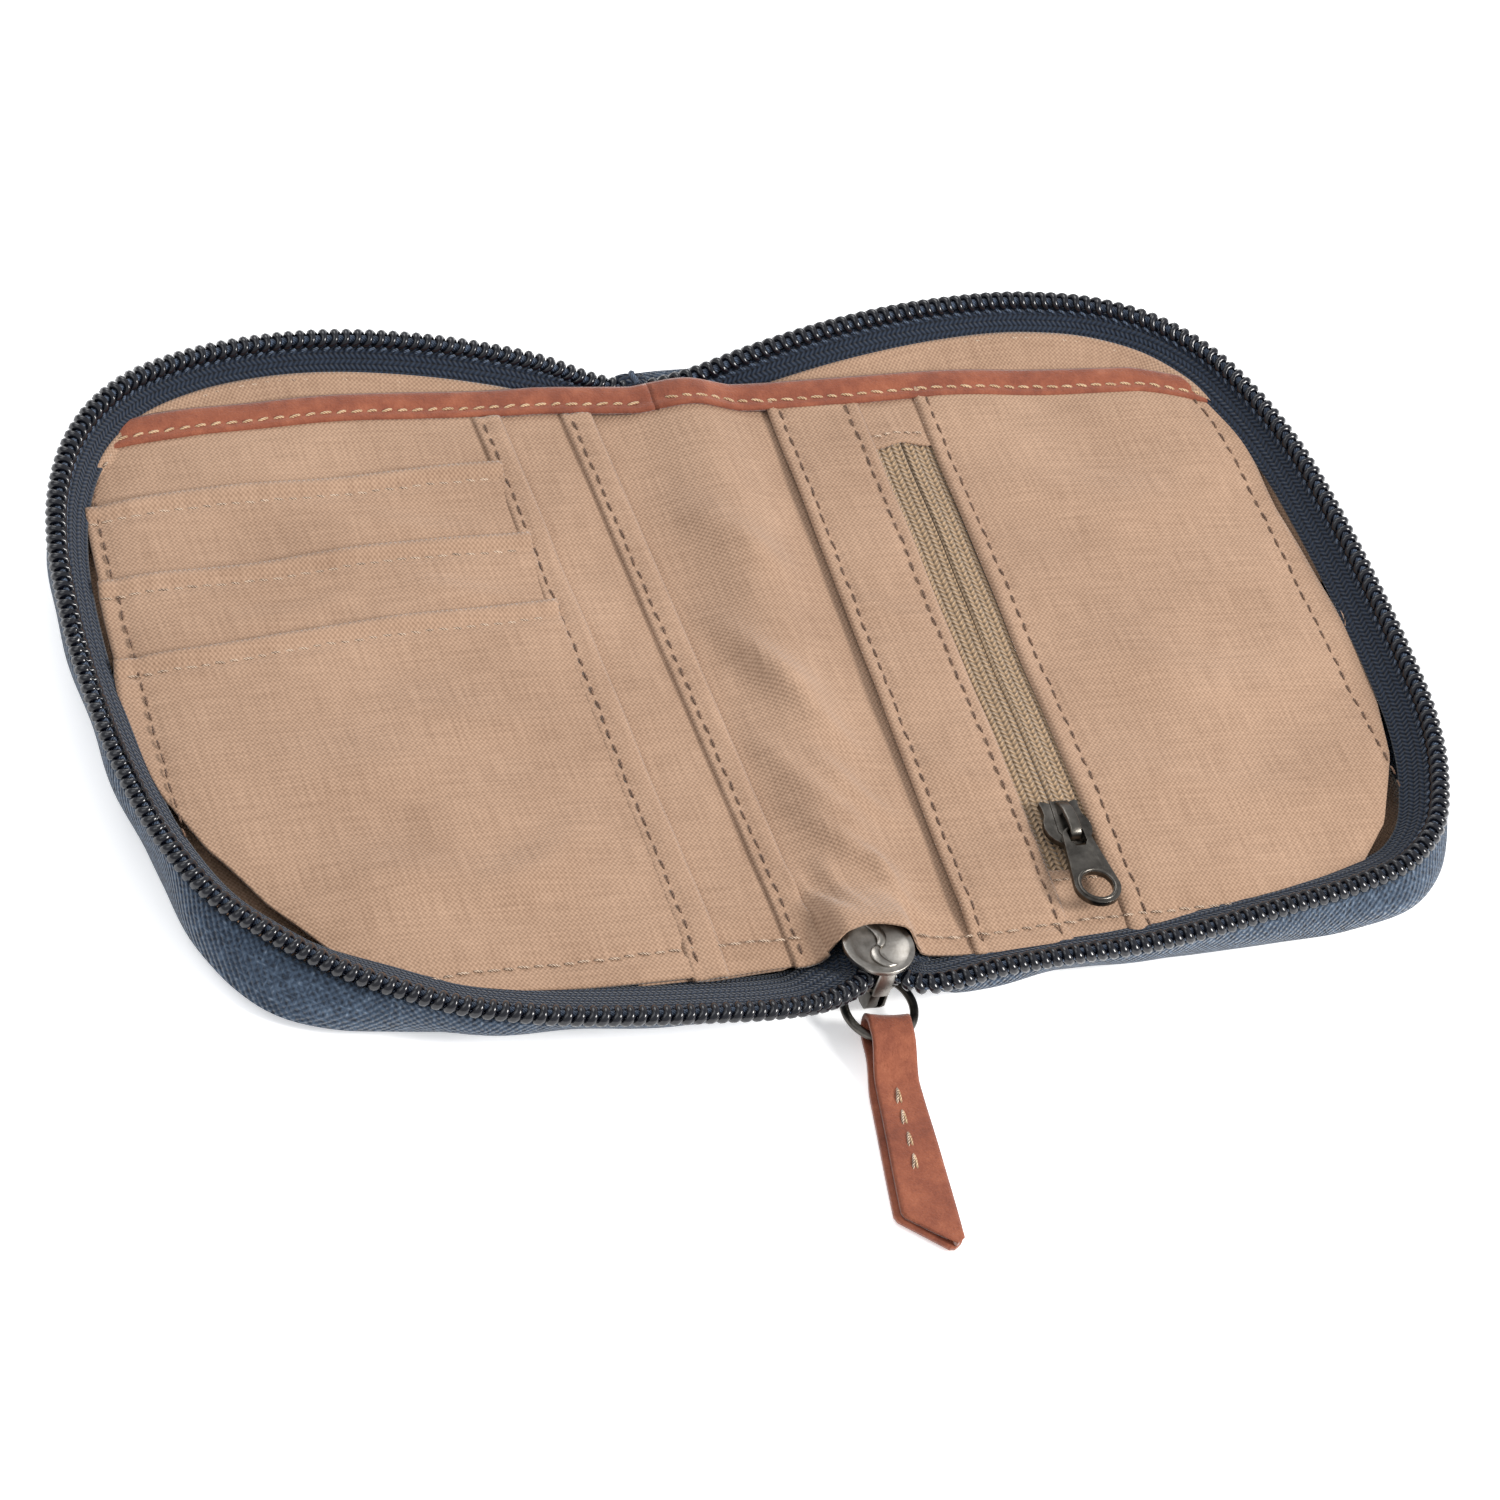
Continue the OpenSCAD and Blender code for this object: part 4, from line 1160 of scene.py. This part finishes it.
def metal_piece(name, adds, cuts, bevel, where, replaces=(), material="metal"):
    """Joins and cuts simple solids, rounds the edges and keeps the result as one mesh."""
    base = adds[0]
    for obj in adds + cuts:
        fix_outside(obj)
    for obj, kind in [(o, "UNION") for o in adds[1:]] + [(o, "DIFFERENCE") for o in cuts]:
        mod = base.modifiers.new("join", "BOOLEAN")
        mod.object, mod.operation, mod.solver = obj, kind, "EXACT"
    mod = base.modifiers.new("bevel", "BEVEL")
    mod.width, mod.segments, mod.limit_method, mod.angle_limit = bevel * MM, 3, "ANGLE", math.radians(35)
    bpy.context.view_layer.update()
    mesh = bpy.data.meshes.new_from_object(base.evaluated_get(bpy.context.evaluated_depsgraph_get()))
    for obj in adds + cuts:
        bpy.data.objects.remove(obj)
    mesh.name = name
    mesh.materials.clear()
    mesh.materials.append(M[material])
    mesh.polygons.foreach_set("use_smooth", [True] * len(mesh.polygons))
    mesh.set_sharp_from_angle(angle=math.radians(32))
    return settle(add_object(name, mesh), where, replaces)


def arc(cx, cy, r, a0, a1, n=12):
    return [(cx + r * math.cos(math.radians(a)), cy + r * math.sin(math.radians(a)))
            for a in np.linspace(a0, a1, n)]


# The main slider: its nose, the middle of its round plates, and the heights of both plates.
NOSE_Y, SLIDER_LENGTH = -72.0, 12.0
PLATE_Y, PLATE_LOW, PLATE_HIGH = NOSE_Y + 6.0, 5.2, 10.0
LUG_Y, LUG_Z = -66.6, 4.2
RING_R, WIRE_R, RING_LEAN = 5.9, 0.75, math.radians(8)
TAB_Y = LUG_Y - (2 * RING_R - WIRE_R) * math.cos(RING_LEAN)
TAB_Z = LUG_Z - (2 * RING_R - WIRE_R) * math.sin(RING_LEAN)
TAB_YAW = math.radians(-7)


def plate_outline(r, tail):
    """A round plate with a straight tail towards +Y."""
    a = math.degrees(math.asin(min(1.0, tail / r)))
    far = NOSE_Y + SLIDER_LENGTH
    return arc(0, PLATE_Y, r, 90 + a, 450 - a, 40) + mirrored([(tail, far - 0.8), (tail - 0.8, far)])


def flanges(points, z0, z1):
    """A flange along each side of a plate; points is the outline of the one at +X."""
    return [prism([(s * x, y) for x, y in points], z0, z1) for s in (-1, 1)]


def make_swirl():
    """Two low curved ridges in the top plate's dish."""
    rows, cols = 15, 7
    for k in (0, 1):
        verts = []
        for t in np.linspace(0, 1, rows):
            r, a = 0.2 + 4.6 * t, math.radians(180 * k + 35) + 1.15 * t
            half = (0.25 + 1.5 * t) * (1 - 0.55 * t * t)
            for u in np.linspace(-1, 1, cols):
                lift = 0.34 * (1 - abs(u)) ** 1.2 * math.sin(math.pi * min(1, t + 0.12)) - 0.02
                x = r * math.cos(a) - u * half * math.sin(a)
                y = r * math.sin(a) + u * half * math.cos(a)
                dish = 0.52 + 0.62 * (math.hypot(x, y) / 5.0) ** 2
                verts.append((x, PLATE_Y + y, PLATE_HIGH + dish + lift))
        slab(f"main_slider_swirl_{k + 1}", np.array(verts).reshape(rows, cols, 3), 0.5, "nickel",
             "main_slider")


def make_slider():
    top = prism(plate_outline(6.0, 4.3), PLATE_HIGH + 0.5, PLATE_HIGH + 1.4)
    under, dish = [turned([(r, PLATE_HIGH + z) for r, z in profile], 0, PLATE_Y) for profile in (
        [(0, -0.3), (3.4, -0.3), (4.9, 0.7), (0, 0.7)],
        [(0, 0.55), (1.6, 0.62), (3.2, 0.85), (4.5, 1.2), (5.35, 1.62), (0, 1.62)])]
    metal_piece("main_slider_top_plate", [top, under], [dish], 0.16, "main_slider", ("main_slider_body",),
                "nickel")
    make_swirl()
    low = prism(plate_outline(5.1, 3.6), PLATE_LOW, PLATE_LOW + 0.85)
    post = prism(mirrored([(1.1, NOSE_Y + 0.1), (1.5, NOSE_Y + 0.35), (0.5, NOSE_Y + 4.6)]),
                 PLATE_LOW + 0.1, PLATE_HIGH + 0.8)
    high_flanges = flanges([(5.3, PLATE_Y + 0.5), (4.6, PLATE_Y + 0.2), (3.7, NOSE_Y + 11.8),
                            (4.3, NOSE_Y + 11.8)], PLATE_HIGH - 1.0, PLATE_HIGH + 0.4)
    low_flanges = flanges([(4.4, PLATE_Y + 0.8), (3.8, PLATE_Y + 0.6), (2.9, NOSE_Y + 11.6),
                           (3.4, NOSE_Y + 11.6)], PLATE_LOW + 0.5, PLATE_LOW + 1.9)
    metal_piece("main_slider_lower_plate", [low, post] + high_flanges + low_flanges, [], 0.14, "main_slider",
                (), "nickel")


def make_lug_and_ring():
    profile = [(LUG_Y - 5.0, PLATE_LOW + 0.3), (LUG_Y - 5.1, 2.6), (LUG_Y - 4.3, 1.2), (LUG_Y - 2.4, 0.8),
               (LUG_Y + 0.3, 1.6), (LUG_Y + 1.7, 3.1), (LUG_Y + 1.85, PLATE_LOW + 0.3)]
    hole = side_prism(arc(LUG_Y, LUG_Z, 0.93, 0, 340, 20), -3, 3)
    slot = prism([(0.1, LUG_Y - 6), (1.05, LUG_Y - 6), (1.05, LUG_Y - 2.4), (0.1, LUG_Y - 2.4)],
                 1.7, PLATE_LOW - 0.1)
    metal_piece("main_slider_lug_loop", [side_prism(profile, -1.7, 1.5)], [hole, slot], 0.2, "main_slider",
                ("main_slider_lug",))
    a = np.linspace(0, math.tau, 72, endpoint=False)
    down = -RING_R + RING_R * np.cos(a)
    path = np.stack([RING_R * np.sin(a), LUG_Y + down * math.cos(RING_LEAN),
                     LUG_Z + down * math.sin(RING_LEAN)], axis=1)
    tube("pull_ring_wire", path, WIRE_R - 0.01, "metal", "pull_ring", sides=14, replaces=("pull_ring",),
         closed=True)


TAB_THICK, TAB_REACH, TAB_GAP = 0.95, 42.2, 3.34
UNDERSIDE, FOLD, UPPERSIDE = range(3)


def tab_limits(y, shift):
    """Left and right edges of the tab at a place along it; the end is cut on the slant."""
    half = 3.55 + 1.2 * smooth(0, 1, np.clip(-y / TAB_REACH, 0, 1))
    cut_left = np.interp(y, (0.6 - TAB_REACH, 6.4 - TAB_REACH), (3.3, -4.75))
    cut_right = np.interp(y, (0.6 - TAB_REACH, 1.7 - TAB_REACH), (3.4, 4.75))
    return max(-half, cut_left) + shift, min(half, cut_right) + shift * 0.2


def tab_stations():
    """The leather folded round the ring: y and z of its middle, and the stretch it belongs to."""
    r = (TAB_GAP + TAB_THICK) / 2
    low_z = TAB_Z - r
    top_z = low_z + TAB_THICK + 0.06
    ys = np.concatenate([np.linspace(0.62, 6, 10) - TAB_REACH, np.linspace(7 - TAB_REACH, -1.8, 34)])
    stations = [(y, max(low_z, 0.06 + TAB_THICK / 2), UNDERSIDE) for y in ys]
    for a in np.radians(np.linspace(-90, 90, 15)):
        stations.append((0.65 + r * math.cos(a), TAB_Z + r * math.sin(a), FOLD))
    for y in ys[::-1]:
        t = float(smooth(-9.6, -1.4, y))
        lump = max(0, 0.12 * math.sin(y * 0.23) * (1 - t))
        stations.append((y, top_z + (TAB_Z + r - top_z) * t + lump, UPPERSIDE))
    return stations, top_z


def on_tab(points):
    """From the tab's own directions to its place on the ring."""
    c, s = math.cos(TAB_YAW), math.sin(TAB_YAW)
    x, y, z = np.moveaxis(np.asarray(points, float), -1, 0)
    return np.stack([x * c - y * s, TAB_Y + x * s + y * c, z], axis=-1)


def make_tab():
    stations, top_z = tab_stations()
    across = np.linspace(-1, 1, 15)
    centre = np.array([(y, z) for y, z, stretch in stations])
    tangent = unit(np.gradient(centre, axis=0))
    rows = []
    for y, z, stretch in stations:
        shift = -0.9 * float(smooth(-2, -12, y)) if stretch == UNDERSIDE else 0.0
        left, right = tab_limits(min(y, 0.0), shift)
        x = left + (right - left) * (across + 1) / 2
        # The fold's outside is hollow, with its corners raised. The upper side's long edges are worn down.
        hollow = 0.22 * 1.6 * across**2 if stretch == FOLD else 0 * across
        worn = 0.12 * abs(across) ** 6 if stretch == UPPERSIDE else 0 * across
        rows.append(np.stack([x, y + hollow, z - worn], axis=1))
    p = np.array(rows)
    n = np.stack([0 * tangent[:, 0], -tangent[:, 1], tangent[:, 0]], axis=1)
    outer = p - n[:, None] * TAB_THICK / 2
    outer[:, :, 2] = np.maximum(outer[:, :, 2], 0.03)
    uv = np.stack([np.repeat(run_length(centre)[:, None], len(across), axis=1), p[:, :, 0]], axis=2)
    slab("leather_pull_tab_strap", on_tab(outer), TAB_THICK, "leather", "pull_tab", uv, ("leather_pull_tab",),
         flip=True)
    ys = np.linspace(-9.8, -27.5, 6)
    line = np.stack([-0.5 + 0.15 * np.sin(ys), ys, np.full(6, top_z + TAB_THICK / 2 + 0.18)], axis=1)
    line = on_tab(even(line, 4.1))
    d = unit(line[1:] - line[:-1])
    side = np.cross(d, [0, 0, 1.0])
    # Each stitch is two strands of thread.
    for k, (lean, material) in enumerate(((0.16, "thread_tan"), (-0.05, "thread_cream"))):
        middles = (line[1:] + line[:-1]) / 2 + side * (0.18 - 0.36 * k)
        capsules(f"tab_stitches_{k + 1}", middles, d + side * lean, np.broadcast_to([0, 0, 1.0], d.shape),
                 3.7 - 0.3 * k, 0.5, 0.5, material, "pull_tab")


COIN_X, COIN_SLIDER_Y, COIN_SLIDER_Z = 41.4, -43.0, 8.95


def coin_prism(outline, z0, z1):
    """A prism placed from the middle of the coin slider's underside."""
    return prism([(COIN_X + x, COIN_SLIDER_Y + y) for x, y in outline], COIN_SLIDER_Z + z0,
                 COIN_SLIDER_Z + z1)


def make_coin_slider():
    body = coin_prism(mirrored([(0.9, -4.8), (2.0, -4.5), (3.1, -3.6), (3.9, -2.4), (4.2, -1.0), (4.0, 0.4),
                                (3.35, 1.8), (3.3, 3.2), (3.5, 4.4), (3.1, 4.8), (1.2, 4.1)]), 0, 1.1)
    hub = coin_prism(mirrored([(1.6, 4.4), (2.2, -2), (1.4, -4.2)]), 0.9, 1.45)
    web = coin_prism(mirrored([(0.3, -3), (0.3, 3)]), -0.9, 0.4)
    metal_piece("coin_slider_plate", [body, hub, web], [], 0.22, "coin_slider", ("coin_slider_body",))
    outer = [(4.3, 1.1), (3.3, 2.5), (1.4, 3.35), (-1.2, 3.6), (-3.0, 3.5), (-3.9, 2.9), (-4.2, 2.0),
             (-4.2, 1.1)]
    inner = [(-3.45, 1.1), (-3.45, 2.1), (-2.9, 2.75), (-1.2, 2.85), (0.9, 2.6), (1.3, 1.1)]
    bridge = [(COIN_SLIDER_Y + y, COIN_SLIDER_Z + z) for y, z in outer + inner]
    metal_piece("coin_slider_bridge", [side_prism(bridge, COIN_X - 1.0, COIN_X + 1.0)], [], 0.28,
                "coin_slider", ("coin_slider_bail",))


def make_coin_pull():
    """A flat pull with a window round the slider's bridge and a round eye at its end."""
    pivot_y, eye_y, z1, z2 = -2.6, -14.6, 1.55, 2.55
    plate = coin_prism(arc(0, pivot_y - 1.95, 2.55, 20, 160, 12) + arc(0, eye_y, 4.0, 180, 360, 24), z1, z2)
    window = coin_prism(mirrored([(-0.9, pivot_y + 0.1), (-1.45, pivot_y - 0.35), (-1.45, pivot_y - 2.6),
                                  (-0.9, pivot_y - 3.6)]), z1 - 1, z2 + 1)
    eye = coin_prism(arc(0, eye_y, 2.75, 0, 350, 36), z1 - 1, z2 + 1)
    metal_piece("coin_pull_plate", [plate], [window, eye], 0.2, "coin_pull", ("coin_pull",))
    rim = [(x, y, COIN_SLIDER_Z + z2 - 0.05)
           for x, y in arc(COIN_X, COIN_SLIDER_Y + eye_y, 3.15, 0, 351, 40)]
    tube("coin_pull_rim", rim, 0.34, "metal", "coin_pull", closed=True)


def make_zip_ends():
    """Folded tape ends that hold the zip to the spine: one behind the slider, one at the far end."""
    for name, y0, y1, top, node in (("zip_start_fold", -59.4, -54.8, 7.2, "zip_start_tab"),
                                    ("zip_end_fold", 63.2, 67.8, 5.9, "zip_end_tab")):
        rows = []
        xs = np.linspace(-3.3, 3.3, 13)
        for v in np.linspace(0, 1, 9):
            y = np.full(13, y0 + (y1 - y0) * v)
            z = 2.7 + (top - 2.9) * (1 - (abs(xs) / 3.6) ** 4) * (1 - 0.35 * (2 * v - 1) ** 4)
            rows.append(np.stack([xs, y, z + 0.1 * np.sin(xs * 2 + 5 * v)], axis=1))
        slab(name, np.array(rows), 0.9, "tape", "spine", replaces=(node,))
        ridge = [(0.25 * math.sin(k), y0 + 0.8 + k * (y1 - y0 - 1.6) / 6, top - 0.1) for k in range(7)]
        tube(name + "_cord", ridge, 0.55, "thread_navy", "spine", sides=6)


# Every sheet, how it is held and what it lies on.
SEWN = [(f"organiser_base_{side}", "laid", f"lining_floor_{side}") for side in SIDES]
SEWN += [("passport_sleeve_left", "laid", "organiser_base_left"),
         ("card_panel_cloth", "laid", "passport_sleeve_left"),
         ("card_slot_cloth_1", "laid", "card_panel_cloth"),
         ("card_slot_cloth_2", "laid", "card_slot_cloth_1"),
         ("card_slot_cloth_3", "laid", "card_slot_cloth_2"),
         ("coin_pocket_back_cloth", "laid", "organiser_base_right"),
         ("coin_pocket_strip_cloth", "folded", "coin_pocket_back_cloth")]
SEWN += [(name, "laid", "coin_pocket_back_cloth")
         for name in ("coin_pocket_front_cloth", "coin_zip_cap_far", "coin_zip_cap_near")]
SEWN += [(f"{name}_{side}", held, f"{under}_{side}") for name, held, under in (
    ("lining_floor", "laid", "board_panel"), ("lining_wall", "folded", "zip_tape"),
    ("zip_tape", "folded", "canvas_wall"), ("canvas_wall", "folded", "canvas_panel"),
    ("canvas_panel", "laid", "board_panel")) for side in SIDES]


def main():
    make_camera()
    make_lights()
    make_floor()
    for side in SIDES:
        make_rim(side)
    make_left()
    make_right()
    for side in SIDES:
        make_trim(side)
    make_slider()
    make_lug_and_ring()
    make_tab()
    make_coin_slider()
    make_coin_pull()
    make_zip_ends()


main()
